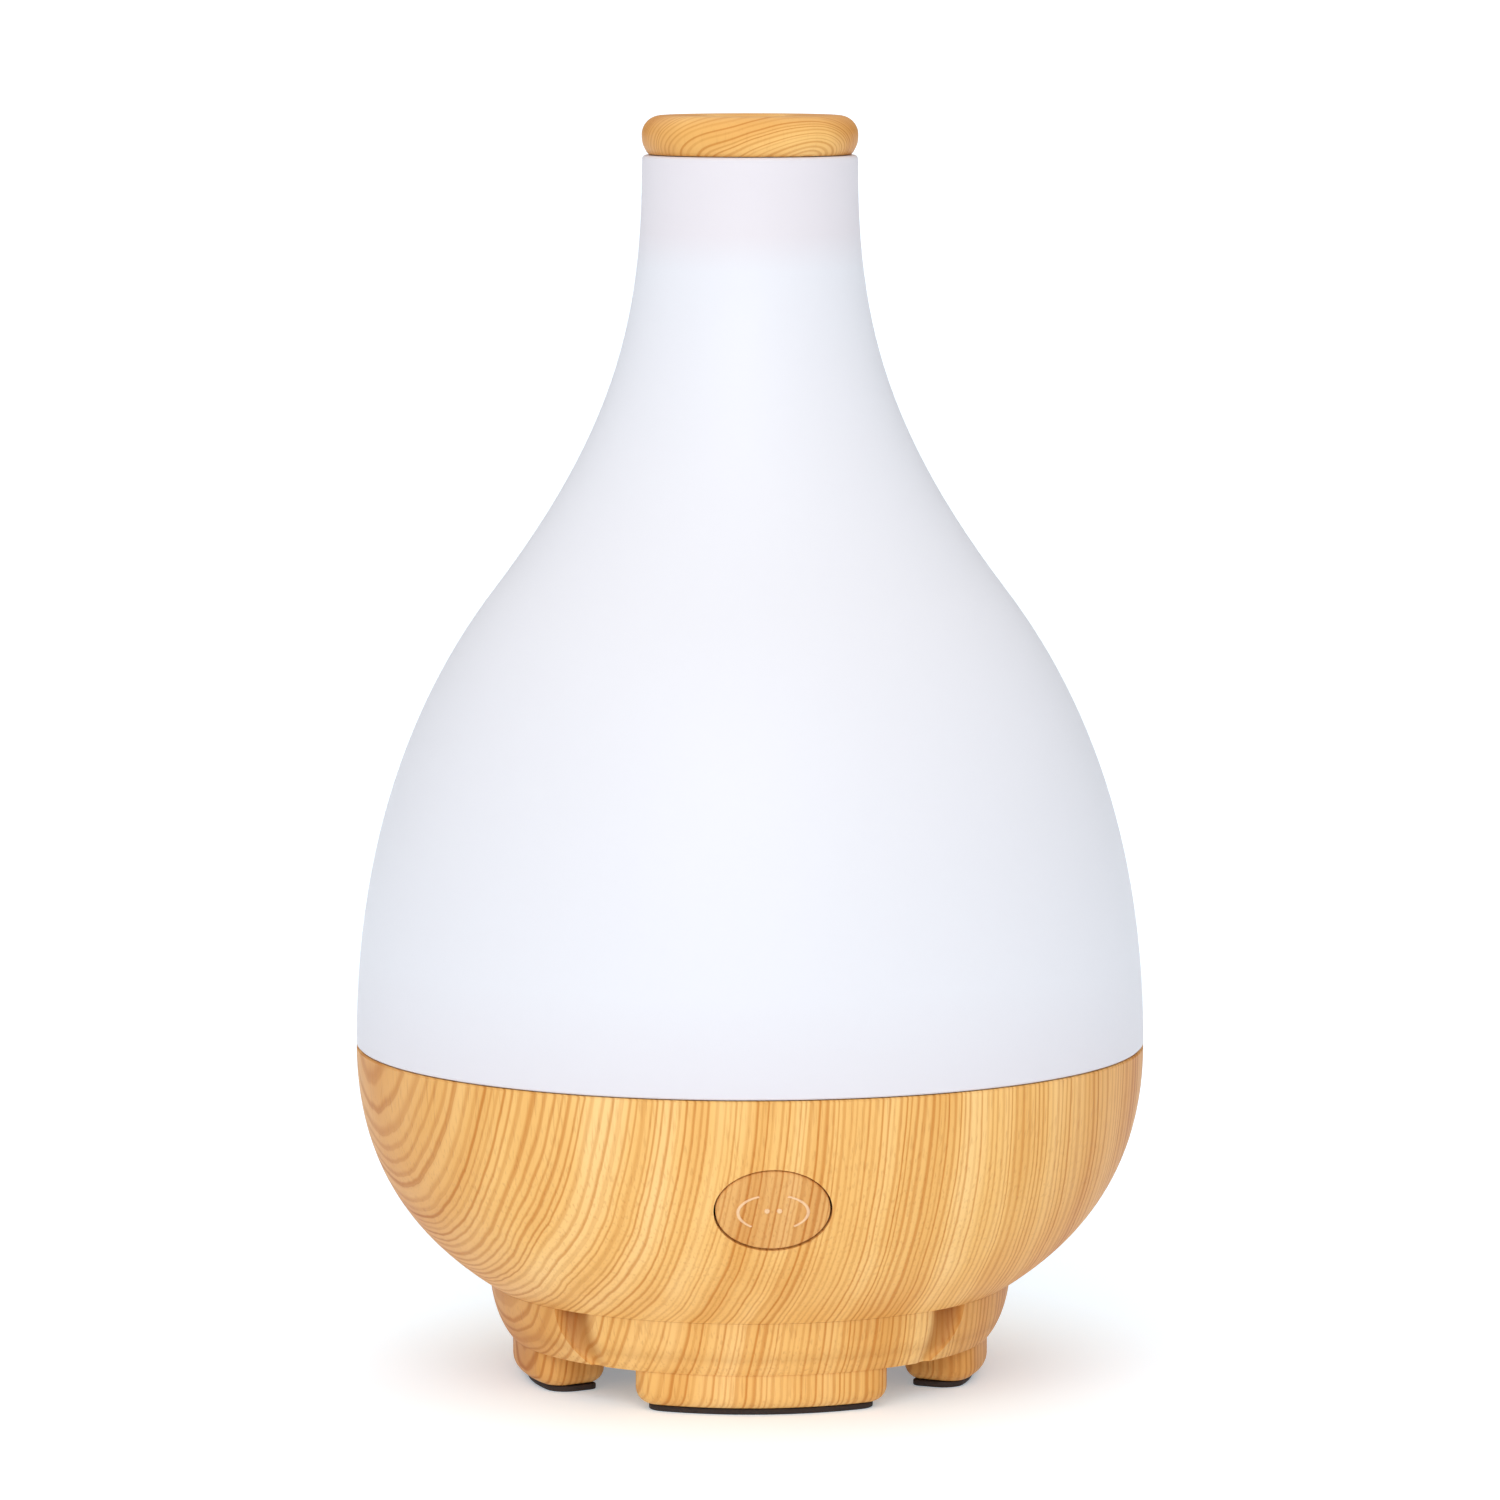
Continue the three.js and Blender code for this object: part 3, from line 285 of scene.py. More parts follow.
class Tree:
    # a short way to lay nodes and links of one material
    def __init__(self, name):
        self.material = bpy.data.materials.new(name)
        self.material.use_nodes = True
        self.nodes = self.material.node_tree.nodes
        self.links = self.material.node_tree.links
        self.shader = self.nodes["Principled BSDF"]

    def node(self, kind, links=None, **settings):
        made = self.nodes.new("ShaderNode" + kind)
        for key, value in settings.items():
            setattr(made, key, value)
        for socket, value in (links or {}).items():
            if isinstance(value, bpy.types.NodeSocket):
                self.links.new(value, made.inputs[socket])
            else:
                made.inputs[socket].default_value = value
        return made

    def math(self, how, *values):
        return self.node("Math", dict(enumerate(values)), operation=how).outputs[0]

    def times(self, first, second):
        return self.math("MULTIPLY", first, second)

    def plus(self, first, second):
        return self.math("ADD", first, second)

    def minus(self, first, second):
        return self.math("SUBTRACT", first, second)

    def noise(self, place, scale, detail=2.0, rough=0.5):
        links = {"Vector": place, "Scale": scale, "Detail": detail, "Roughness": rough}
        return self.node("TexNoise", links).outputs["Fac"]

    def ramp(self, value, stops, ease="LINEAR"):
        made = self.node("ValToRGB", {"Fac": value})
        made.color_ramp.interpolation = ease
        while len(made.color_ramp.elements) < len(stops):
            made.color_ramp.elements.new(0.5)
        for element, (place, colour) in zip(made.color_ramp.elements, stops):
            element.position = place
            element.color = (*colour, 1) if len(colour) == 3 else colour
        return made.outputs["Color"]

    def spread(self, value, low, high, toLow=0.0, toHigh=1.0):
        links = {"Value": value, "From Min": low, "From Max": high, "To Min": toLow, "To Max": toHigh}
        return self.node("MapRange", links).outputs["Result"]

    def mix(self, amount, first, second, how="MIX"):
        made = self.node("Mix", data_type="RGBA", blend_type=how)
        for socket, value in ((0, amount), (6, first), (7, second)):
            if isinstance(value, bpy.types.NodeSocket):
                self.links.new(value, made.inputs[socket])
            else:
                made.inputs[socket].default_value = value if socket == 0 else (*value, 1)
        return made.outputs[2]

    def place(self):
        return self.node("TexCoord").outputs["Object"]

    def axes(self, place):
        return self.node("SeparateXYZ", {"Vector": place}).outputs

    def fromAxis(self, axes):
        # how far a point lies from the upright axis
        squares = [self.math("POWER", axes[i], 2.0) for i in (0, 1)]
        return self.math("SQRT", self.plus(*squares))

    def wander(self, value, noise, reach):
        # a value pushed to and fro by a noise round one half
        swing = self.times(self.minus(noise, 0.5), reach * 2)
        return self.plus(value, swing)

    def moved(self, vector, location=(0, 0, 0), rotation=(0, 0, 0), scale=(1, 1, 1)):
        links = {"Vector": vector, "Location": location, "Rotation": rotation, "Scale": scale}
        return self.node("Mapping", links).outputs["Vector"]

    def bump(self, height, distance, strength=1.0):
        made = self.node("Bump", {"Height": height, "Distance": distance, "Strength": strength})
        self.links.new(made.outputs["Normal"], self.shader.inputs["Normal"])

    def set(self, **values):
        for key, value in values.items():
            socket = self.shader.inputs[key.replace("_", " ")]
            if isinstance(value, bpy.types.NodeSocket):
                self.links.new(value, socket)
            else:
                socket.default_value = value


def fromScreen(red, green, blue):
    # a colour as seen on a screen, 0 to 255, in linear light
    shares = (red / 255, green / 255, blue / 255)
    return tuple(((v + 0.055) / 1.055) ** 2.4 if v > 10 / 255 else v / 12.92 for v in shares)


# wood: growth layers cut by the form, with fine pores

woodTones = {
    "light": fromScreen(252, 211, 146),
    "middle": fromScreen(240, 189, 114),
    "deep": fromScreen(219, 155, 76),
    "line": fromScreen(194, 119, 44),
    "dark": fromScreen(172, 98, 36),
    # pocket: painted shade for the hollows in the foot ring
    "pocketShade": fromScreen(166, 100, 44),
    # side: painted shade, multiplied in at the wood's left and right sides
    "side": (0.8, 0.64, 0.5),
}
woodGrain = {
    "layer": 0.00115, "turn": 15.0, "fan": 1.5, "lean": 0.05, "warp": 0.0034, "fine": 0.00036,
    "uneven": 3.2, "unevenScale": 0.23, "bandScale": 120.0, "bandShare": 0.65, "patchScale": 55.0,
    "poreScale": 2600.0, "poreFrom": 0.56, "poreTo": 0.72,
}
woodLook = {
    "lines": 0.93, "pores": 0.22, "poreFade": 8, "sideShadeFrom": 0.66, "sideShadeTo": 0.96, "tint": 0.5,
    "raisedHighlight": 0.6, "raisedHighlightTone": fromScreen(250, 216, 178), "pocketShade": 0.85, "roughFrom": 0.42,
    "roughTo": 0.52, "specular": 0.12, "bump": 0.00005, "bumpStrength": 0.6,
}


def woodLayers(tree, place):
    # place across the wood: near-upright sheets that fan out downwards
    split = tree.axes(place)
    turn = math.radians(woodGrain["turn"])
    across = tree.plus(tree.times(split[0], math.cos(turn)), tree.times(split[1], math.sin(turn)))
    drop = tree.minus(seamHeight, split[2])
    fan = tree.minus(1.0, tree.times(drop, woodGrain["fan"]))
    leaning = tree.times(drop, woodGrain["lean"])
    across = tree.plus(tree.times(across, fan), leaning)
    broad = tree.noise(tree.moved(place, scale=(1, 1, 0.6)), 17.0, 2.0, 0.45)
    fine = tree.noise(tree.moved(place, scale=(1, 1, 0.25)), 150.0, 2.0, 0.5)
    across = tree.wander(across, broad, woodGrain["warp"])
    return tree.wander(across, fine, woodGrain["fine"])


# the foot ring's outer line in two straight runs, and the depths between which painted shade darkens a
# hollow
pocketShadeLook = {"heights": (0.0077, 0.0108, 0.0178), "radii": (0.0442, 0.0473, 0.0480), "within": 0.0428,
              "lift": 0.0002, "from": 0.0005, "to": 0.0022, "lowShare": 0.45}


def pocketDepth(tree, place):
    # painted shade for the hollows: how far a point lies inside the foot ring's outer line, which shows
    # the hollows pressed into it, weaker towards the bottom
    p = pocketShadeLook
    low, middle, high = p["heights"]
    split = tree.axes(place)
    away = tree.fromAxis(split)
    foot = tree.spread(split[2], low, middle, p["radii"][0], p["radii"][1])
    upper = tree.spread(split[2], middle, high, 0.0, p["radii"][2] - p["radii"][1])
    depth = tree.minus(tree.plus(foot, upper), away)
    onRing = tree.math("GREATER_THAN", away, p["within"])
    above = tree.math("GREATER_THAN", split[2], low + p["lift"])
    where = tree.times(onRing, above)
    inside = tree.times(where, tree.spread(depth, p["from"], p["to"]))
    return tree.times(inside, tree.spread(split[2], low, high, p["lowShare"], 1.0))


def woodMaterial(name, layersOf, layer=None, tint=None, shadePockets=False, soft=1.0):
    g, look = woodGrain, woodLook
    tree = Tree(name)
    place = tree.place()
    across = layersOf(tree, place)
    count = tree.math("DIVIDE", across, layer or g["layer"])
    # uneven spacing: the count is pushed along itself
    along = tree.node("CombineXYZ", {"X": tree.times(count, g["unevenScale"])}).outputs[0]
    count = tree.plus(count, tree.times(tree.noise(along, 1.0, 2.0), g["uneven"]))
    within = tree.math("FRACT", count)
    which = tree.math("FLOOR", count)
    fate = tree.node("TexWhiteNoise", {"W": which}, noise_dimensions="1D").outputs["Value"]
    # a layer is pale at first, and ends in a thin dark line
    greys = [(0.0, 0.55), (0.12, 0.1), (0.5, 0.12), (0.82, 1), (0.95, 0.85)]
    rise = tree.ramp(within, [(at, (grey, grey, grey)) for at, grey in greys], "EASE")
    strength = tree.spread(fate, 0.0, 1.0, 0.4, 1.0)
    line = tree.times(rise, strength)
    # broad stretches of paler and deeper wood, in step with the layers
    along = tree.node("CombineXYZ", {"X": tree.times(across, g["bandScale"])}).outputs[0]
    band = tree.noise(along, 1.0, 1.0)
    patch = tree.noise(tree.moved(place, scale=(1, 1, 0.3)), g["patchScale"], 2.0)
    tone = tree.plus(tree.times(band, g["bandShare"]), tree.times(patch, 1 - g["bandShare"]))
    stops = [(0.28, woodTones["light"]), (0.5, woodTones["middle"]), (0.74, woodTones["deep"])]
    ground = tree.ramp(tone, stops)
    depth = tree.times(line, tree.spread(tone, 0.3, 0.7, 0.55, 1.0))
    inked = tree.mix(tree.spread(depth, 0.05, 0.9, 0.0, look["lines"] * soft), ground, woodTones["line"])
    # short upright pores
    pores = tree.noise(tree.moved(place, scale=(1, 1, 0.06)), g["poreScale"], 1.0)
    pores = tree.spread(pores, g["poreFrom"], g["poreTo"])
    poreShare = look["pores"] * soft ** look["poreFade"]
    inked = tree.mix(tree.times(pores, poreShare), inked, woodTones["dark"])
    # painted shade: the wood darkens towards its left and right sides, where the light falls off
    split = tree.axes(place)
    sideways = tree.math("DIVIDE", tree.math("ABSOLUTE", split[0]), tree.fromAxis(split))
    side = tree.spread(sideways, look["sideShadeFrom"], look["sideShadeTo"])
    inked = tree.mix(side, inked, woodTones["side"], "MULTIPLY")
    if tint:
        inked = tree.mix(look["tint"], inked, tint, "MULTIPLY")
        # painted highlight: the raised ring and dots are lightened
        highlightMask = tree.node("Attribute", attribute_name="raisedHighlight").outputs["Fac"]
        inked = tree.mix(tree.times(highlightMask, look["raisedHighlight"]), inked, look["raisedHighlightTone"])
    if shadePockets:
        # painted shade in the air scoops of the foot ring
        hollowShade = tree.times(pocketDepth(tree, place), look["pocketShade"])
        inked = tree.mix(hollowShade, inked, woodTones["pocketShade"])
    rough = tree.spread(line, 0.0, 1.0, look["roughFrom"], look["roughTo"])
    tree.set(Base_Color=inked, Roughness=rough)
    tree.shader.inputs["Specular IOR Level"].default_value = look["specular"]
    height = tree.minus(1.0, tree.plus(tree.times(line, 0.6), pores))
    tree.bump(height, look["bump"], look["bumpStrength"])
    return tree.material


capGrain = {"centre": (0.0134, -0.017, 0.2235), "stretch": (0.42, 1.0, 1.25), "layer": 0.00074,
            "soft": 0.85, "warp": 0.0035}


def capLayers(tree, place):
    # the cap is cut across a knot: shells round a point low on its right
    shift = tuple(-c * s for c, s in zip(capGrain["centre"], capGrain["stretch"]))
    near = tree.moved(place, location=shift, scale=capGrain["stretch"])
    away = tree.node("VectorMath", {0: near}, operation="LENGTH").outputs["Value"]
    broad = tree.noise(place, 40.0, 2.0, 0.45)
    return tree.plus(away, tree.times(broad, capGrain["warp"]))


coverTones = {
    "wall": fromScreen(224, 223, 228),
    # seam and plug: painted shade where less of the inner light comes through; glow: painted glow in
    # place of the light from the lamps inside
    "seam": fromScreen(219, 212, 216),
    "plug": fromScreen(224, 217, 221),
    "paintedGlow": fromScreen(246, 250, 255),
}
coverLook = {"plugShadeDrop": 0.005, "plugShadeRise": 0.0015, "seamShadeRise": 0.018, "paintedGlowStrength": 0.03,
             "subsurface": 0.25, "reach": (0.006, 0.006, 0.006)}


def frostedMaterial():
    # frosted plastic with a painted glow in place of the lamps inside, dimmed by painted shade at the
    # seam and behind the plug, where the colour is painted darker too
    tree = Tree("frostedPlastic")
    place = tree.place()
    look = coverLook
    height = tree.axes(place)[2]
    plugShadeMask = tree.spread(height, plugLow[2] - look["plugShadeDrop"], plugLow[2] + look["plugShadeRise"])
    seamShadeMask = tree.spread(height, seamHeight + look["seamShadeRise"], seamHeight)
    haze = tree.noise(place, 22.0, 3.0, 0.5)
    grain = tree.noise(place, 2200.0, 2.0, 0.6)
    colour = tree.mix(haze, coverTones["wall"], tuple(c * 0.985 for c in coverTones["wall"]))
    colour = tree.mix(tree.times(plugShadeMask, 0.9), colour, coverTones["plug"])
    colour = tree.mix(tree.times(seamShadeMask, 0.55), colour, coverTones["seam"])
    # painted glow, dimmed by painted shade behind the plug and at the seam
    paintedGlow = tree.minus(1.0, tree.times(plugShadeMask, 0.85))
    paintedGlow = tree.times(paintedGlow, tree.minus(1.0, tree.times(seamShadeMask, 0.6)))
    paintedGlowColour = tree.mix(paintedGlow, (0.0, 0.0, 0.0), coverTones["paintedGlow"])
    tree.set(Base_Color=colour, Roughness=tree.spread(grain, 0.3, 0.7, 0.48, 0.6), Emission_Color=paintedGlowColour)
    tree.shader.inputs["Emission Strength"].default_value = look["paintedGlowStrength"]
    tree.shader.inputs["Subsurface Weight"].default_value = look["subsurface"]
    tree.shader.inputs["Subsurface Radius"].default_value = look["reach"]
    tree.bump(grain, 0.00002, 0.5)
    return tree.material


def mouldedMaterial(name, colour, rough=0.45, cloud=0.06, grainScale=1800.0, depth=0.00002, **values):
    # moulded stock: a faint cloud in the colour and a fine grained skin
    tree = Tree(name)
    place = tree.place()
    haze = tree.noise(place, 60.0, 3.0, 0.55)
    grain = tree.noise(place, grainScale, 2.0, 0.6)
    darker = tuple(c * (1 - cloud) for c in colour)
    tree.set(Base_Color=tree.mix(haze, colour, darker),
             Roughness=tree.spread(grain, 0.3, 0.7, rough - 0.05, rough + 0.07))
    for key, value in values.items():
        tree.shader.inputs[key.replace("_", " ")].default_value = value
    tree.bump(grain, depth, 0.6)
    return tree.material


def metalMaterial(name, colour, rough=0.3, streak=(1, 1, 12)):
    # metal with fine drawn streaks
    tree = Tree(name)
    place = tree.place()
    lines = tree.noise(tree.moved(place, scale=streak), 900.0, 3.0, 0.6)
    tree.set(Base_Color=tree.mix(lines, colour, tuple(c * 0.8 for c in colour)), Metallic=1.0,
             Roughness=tree.spread(lines, 0.2, 0.8, rough - 0.08, rough + 0.12))
    tree.bump(lines, 0.00002, 0.4)
    return tree.material


def boardMaterial():
    # green solder mask with copper tracks under it
    tree = Tree("circuitBoard")
    place = tree.place()
    cells = tree.node("TexVoronoi", {"Vector": place, "Scale": 420.0}, feature="DISTANCE_TO_EDGE")
    tracks = tree.spread(cells.outputs["Distance"], 0.04, 0.09)
    colour = tree.mix(tracks, fromScreen(46, 132, 82), fromScreen(20, 82, 48))
    tree.set(Base_Color=colour, Roughness=tree.spread(tracks, 0.0, 1.0, 0.3, 0.4))
    tree.bump(tracks, 0.00003, 0.5)
    return tree.material


wood = woodMaterial("woodGrain", woodLayers)
ringWood = woodMaterial("ringWood", woodLayers, shadePockets=True)
capWood = woodMaterial("capWood", capLayers, layer=capGrain["layer"], soft=capGrain["soft"])
buttonWood = woodMaterial("buttonWood", woodLayers, tint=fromScreen(226, 208, 214))
frosted = frostedMaterial()
whitePlastic = mouldedMaterial("whitePlastic", fromScreen(240, 238, 232), 0.42)
lidPlastic = mouldedMaterial("lidPlastic", fromScreen(236, 237, 239), 0.32, Subsurface_Weight=0.3)
padRubber = mouldedMaterial("padRubber", fromScreen(52, 38, 34), 0.75, 0.15, 1400.0, 0.00006)
silicone = mouldedMaterial("silicone", fromScreen(222, 224, 226), 0.55)
blackPlastic = mouldedMaterial("blackPlastic", fromScreen(34, 34, 37), 0.5)
lampLens = mouldedMaterial("lampLens", fromScreen(255, 244, 210), 0.2)
sleeveBlue = mouldedMaterial("sleeveBlue", fromScreen(40, 54, 96), 0.35)
cableRed = mouldedMaterial("cableRed", fromScreen(176, 52, 44), 0.45)
cableWhite = mouldedMaterial("cableWhite", fromScreen(226, 222, 214), 0.45)
steel = metalMaterial("screwSteel", fromScreen(196, 198, 202), 0.3)
aluminium = metalMaterial("sinkAluminium", fromScreen(205, 208, 212), 0.38)
brass = metalMaterial("discBrass", fromScreen(222, 186, 106), 0.3)
copper = metalMaterial("coilCopper", fromScreen(196, 116, 60), 0.35, (1, 1, 90))
greenBoard = boardMaterial()
print("finishes ready")


# outer cover: frosted shell with its neck and a spigot that drops inside the base

coverShape = {
    "wall": 0.002, "bellyRise": 0.037, "shoulder": (0.047, 0.1455), "lean": 0.762,
    "underShoulder": 0.0195, "overShoulder": 0.031, "neckRadius": 0.0197, "neckPull": 0.0275,
    "rimRound": 0.0007, "edge": 0.0003, "seamGap": 0.0002, "spigotIn": 0.0028, "spigotWall": 0.0012,
    "spigotLift": 0.001, "steps": 160,
}
coverBottom = seamHeight + coverShape["seamGap"]


def coverOutline():
    c = coverShape
    sr, sz = c["shoulder"]
    seam = (bellyRadius, coverBottom)
    belly = [seam, (bellyRadius, coverBottom + c["bellyRise"]),
             (sr + c["lean"] * c["underShoulder"], sz - c["underShoulder"]), (sr, sz)]
    neck = [(sr, sz), (sr - c["lean"] * c["overShoulder"], sz + c["overShoulder"]),
            (c["neckRadius"], rimHeight - c["neckPull"]), (c["neckRadius"], rimHeight - c["rimRound"])]
    return curvePoints(belly, 26) + curvePoints(neck, 26)[1:]


def makeCover():
    c = coverShape
    outside = coverOutline()
    inside = inwards(outside, c["wall"])
    inside[0] = (bellyRadius - c["wall"], coverBottom + c["spigotLift"])
    outside[0] = (bellyRadius, coverBottom + c["edge"])
    rim = arcPoints((c["neckRadius"] - c["rimRound"], rimHeight - c["rimRound"]),
                    (c["rimRound"], c["rimRound"]), 0, 90, 5)[1:]
    spigotOut = bellyRadius - c["spigotIn"]
    spigotIn = spigotOut - c["spigotWall"]
    foot = [(spigotIn, coverBottom + c["spigotLift"]), (spigotIn, coverLow[2]),
            (spigotOut, coverLow[2]), (spigotOut, coverBottom),
            (bellyRadius - c["edge"], coverBottom)]
    outline = outside + rim + [(c["neckRadius"] - c["wall"], rimHeight)] + inside[::-1] + foot
    piece = spinOutline("coverShell", outline, c["steps"])
    smooth(piece, 40)
    return settle(piece, "cover", ["outer_cover"], frosted)


makeCover()


# cap: pebble-shaped wood disc with a dished mist hole, and its white plug

capShape = {
    "foot": 0.0188, "bulge": 0.01975, "top": 0.0162, "bulgeRise": 0.0037, "hole": 0.005, "dish": 0.0092,
    "dishDepth": 0.0009, "recess": 0.0172, "recessHigh": 0.0026, "drop": 0.00015, "edge": 0.0003,
    "lip": 0.0005,
}


def makeCap():
    c = capShape
    middle = rimHeight + c["bulgeRise"]
    low, top = capLow[2] - c["drop"], capHigh[2]
    lower = [(c["foot"] - c["edge"], low)] + curvePoints(
        [(c["foot"], low + c["edge"]), (c["foot"] + 0.0007, low + 0.0015), (c["bulge"], middle - 0.0016),
         (c["bulge"], middle)], 8)
    upper = arcPoints((c["top"], middle), (c["bulge"] - c["top"], top - middle), 0, 90, 12)[1:]
    floor = top - c["dishDepth"]
    dish = [(c["dish"] + 0.0006, top)] + curvePoints(
        [(c["dish"], top - 0.0001), (c["dish"] - 0.0015, top - 0.0006), (c["hole"] + 0.0018, floor),
         (c["hole"] + c["lip"], floor)], 8)
    hole = arcPoints((c["hole"] + c["lip"], floor - c["lip"]), (c["lip"], c["lip"]), 90, 180, 4)[1:]
    ceiling = low + c["recessHigh"]
    under = [(c["hole"], ceiling), (c["recess"], ceiling), (c["recess"], low)]
    outline = lower + upper + dish + hole + under
    piece = spinOutline("capDisc", outline, 96)
    smooth(piece, 40)
    return settle(piece, "cap", ["mist_cap"], capWood)


makeCap()

plugShape = {"wall": 0.0016, "tubeWall": 0.0012, "tubeDrop": 0.006, "roof": 0.0014, "edge": 0.0004,
             "round": 0.0005, "grooveRise": 0.005, "grooveHigh": 0.002, "grooveDeep": 0.0007}


def makePlug():
    p = plugShape
    radius, top, low = plugHigh[0], plugHigh[2], plugLow[2]
    edge, corner = p["edge"], p["round"]
    bore = capShape["hole"]
    tube, tubeEnd = bore + p["tubeWall"], rimHeight - p["tubeDrop"]
    skirt, ceiling = radius - p["wall"], top - p["roof"]
    groove, grooveIn = low + p["grooveRise"], radius - p["grooveDeep"]
    grooveTop = groove + p["grooveHigh"]
    outline = [(bore, top), (bore, tubeEnd), (tube, tubeEnd), (tube, ceiling - corner),
               (tube + corner, ceiling), (skirt - 2 * corner, ceiling), (skirt, ceiling - 2 * corner),
               (skirt, low + edge), (skirt + edge, low), (radius - edge, low), (radius, low + edge),
               (radius, groove), (grooveIn, groove), (grooveIn, grooveTop), (radius, grooveTop),
               (radius, top - corner), (radius - corner, top)]
    piece = spinOutline("plugSkirt", outline, 96)
    smooth(piece, 40)
    return settle(piece, "cap", ["cap_plug"], whitePlastic)


makePlug()


# base bowl: the wood-grain shell under the seam

bowlShape = {
    "wall": 0.0023, "crease": (0.048, 0.0178), "handle": (0.064, 0.0278), "pull": 0.020, "edge": 0.0003,
    "shelfDrop": 0.0069, "shelfIn": 0.0605, "wallTop": 0.0125, "land": 0.045, "landThick": 0.001,
    "steps": 192,
}
buttonShape = {"height": 0.0415, "halfWide": 0.01015, "halfHigh": 0.008, "gap": 0.00035,
               "hole": (-0.008, 0.004)}


def bowlLine(steps):
    b = bowlShape
    ends = [b["crease"], b["handle"], (bellyRadius, seamHeight - b["pull"]), (bellyRadius, seamHeight)]
    return curvePoints(ends, steps)


def bowlRadius(height):
    # the bowl's outer radius at a height
    return radiusAt(bowlLine(400), height)


def buttonFrame():
    # +Z out of the bowl at the button's middle, +X across
    b = buttonShape
    step = 0.0002
    rise = math.atan2(bowlRadius(b["height"] + step) - bowlRadius(b["height"] - step), 2 * step)
    turn = Matrix.Rotation(math.pi / 2 + rise, 4, "X")
    return Matrix.Translation((0, -bowlRadius(b["height"]), b["height"])) @ turn


def ovalBar(name, halfWide, halfHigh, low, high):
    # an oval bar in the button's frame
    bar = tubeBar(name, 1, low, high, sides=96)
    editAll()
    bpy.ops.transform.resize(value=(halfWide, halfHigh, 1))
    bpy.ops.object.mode_set(mode="OBJECT")
    bpy.ops.object.transform_apply(location=True, rotation=True, scale=True)
    bar.data.transform(buttonFrame())
    return bar


def makeBowl():
    b, k = bowlShape, buttonShape
    edge = b["edge"]
    outside = bowlLine(30)
    outside[-1] = (bellyRadius, seamHeight - edge)
    shelf, wallTop = seamHeight - b["shelfDrop"], seamHeight - b["wallTop"]
    inside = [p for p in inwards(bowlLine(30), b["wall"]) if p.x > b["land"] and p.y < wallTop]
    rimIn = bellyRadius - b["wall"]
    top = [(bellyRadius - edge, seamHeight), (rimIn + edge, seamHeight),
           (rimIn, seamHeight - edge), (rimIn, shelf), (b["shelfIn"], shelf),
           (b["shelfIn"], shelf - 0.002), (inside[-1].x + 0.0006, shelf - 0.0035)]
    outline = [(b["land"], b["crease"][1])] + outside + top + inside[::-1]
    outline.append((b["land"], b["crease"][1] + b["landThick"]))
    piece = spinOutline("bowlShell", outline, b["steps"])
    hole = ovalBar("buttonHole", k["halfWide"] + k["gap"], k["halfHigh"] + k["gap"], *k["hole"])
    combine(piece, hole, "DIFFERENCE")
    return piece


socketShape = {"side": 0.0096, "wall": 0.0015, "shroudIn": 0.004, "shroudOut": 0.075, "holeIn": 0.006,
               "holeOut": 0.08, "round": 0.0008, "skin": 0.0004}


def makeBowlSocket(piece):
    # the niche round the power socket at the rear
    s = socketShape
    low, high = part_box("power_socket")
    middle = (low[2] + high[2]) / 2
    half = s["side"] / 2
    outer = half + s["wall"]
    shroud = boxBar("shroud", (-outer, high[1] - s["shroudIn"], middle - outer),
                    (outer, s["shroudOut"], middle + outer))
    # what of the shroud would stand out of the bowl is taken off
    line = bowlLine(30)
    form = [(0, line[0].y + 0.0002)] + [p - Vector((s["skin"], 0)) for p in line]
    form.append((0, line[-1].y))
    combine(shroud, spinOutline("bowlForm", form, bowlShape["steps"]), "INTERSECT")
    combine(piece, shroud, "UNION")
    hole = boxBar("socketHole", (-half, high[1] - s["holeIn"], middle - half),
                  (half, s["holeOut"], middle + half))
    roundEdges(hole, s["round"])
    combine(piece, hole, "DIFFERENCE")


bowl = makeBowl()
makeBowlSocket(bowl)
smooth(bowl, 32)
settle(bowl, "base", ["base_bowl"], wood)


# bottom cover: foot ring, air scoops, four feet, vents

ringShape = {"foot": (0.0442, 0.0077), "top": 0.048, "inside": 0.0416, "plate": 0.0025,
             "spigotGap": 0.0003, "spigotHigh": 0.0016, "steps": 192}
footShape = {"inside": 0.0308, "outside": 0.0439, "low": 0.0012, "sunk": 0.001, "round": 0.0029,
             "corners": (0.005, 0.0034), "spans": {0: 69, 90: 61, 180: 69, 270: 61}}
scoopShape = {
    "angle": 50.9, "run": 14.0, "slant": 8.0, "slantFade": 2.2, "deep": 0.0036, "shallow": 0.001,
    "steep": 0.2, "pace": 1.4, "below": 0.0008, "above": 0.0004, "proud": 0.0002, "clear": 0.006,
    "steps": 28, "levels": 8,
}
# a hair under the bowl's crease
ringTop = bowlShape["crease"][1] - 0.00003


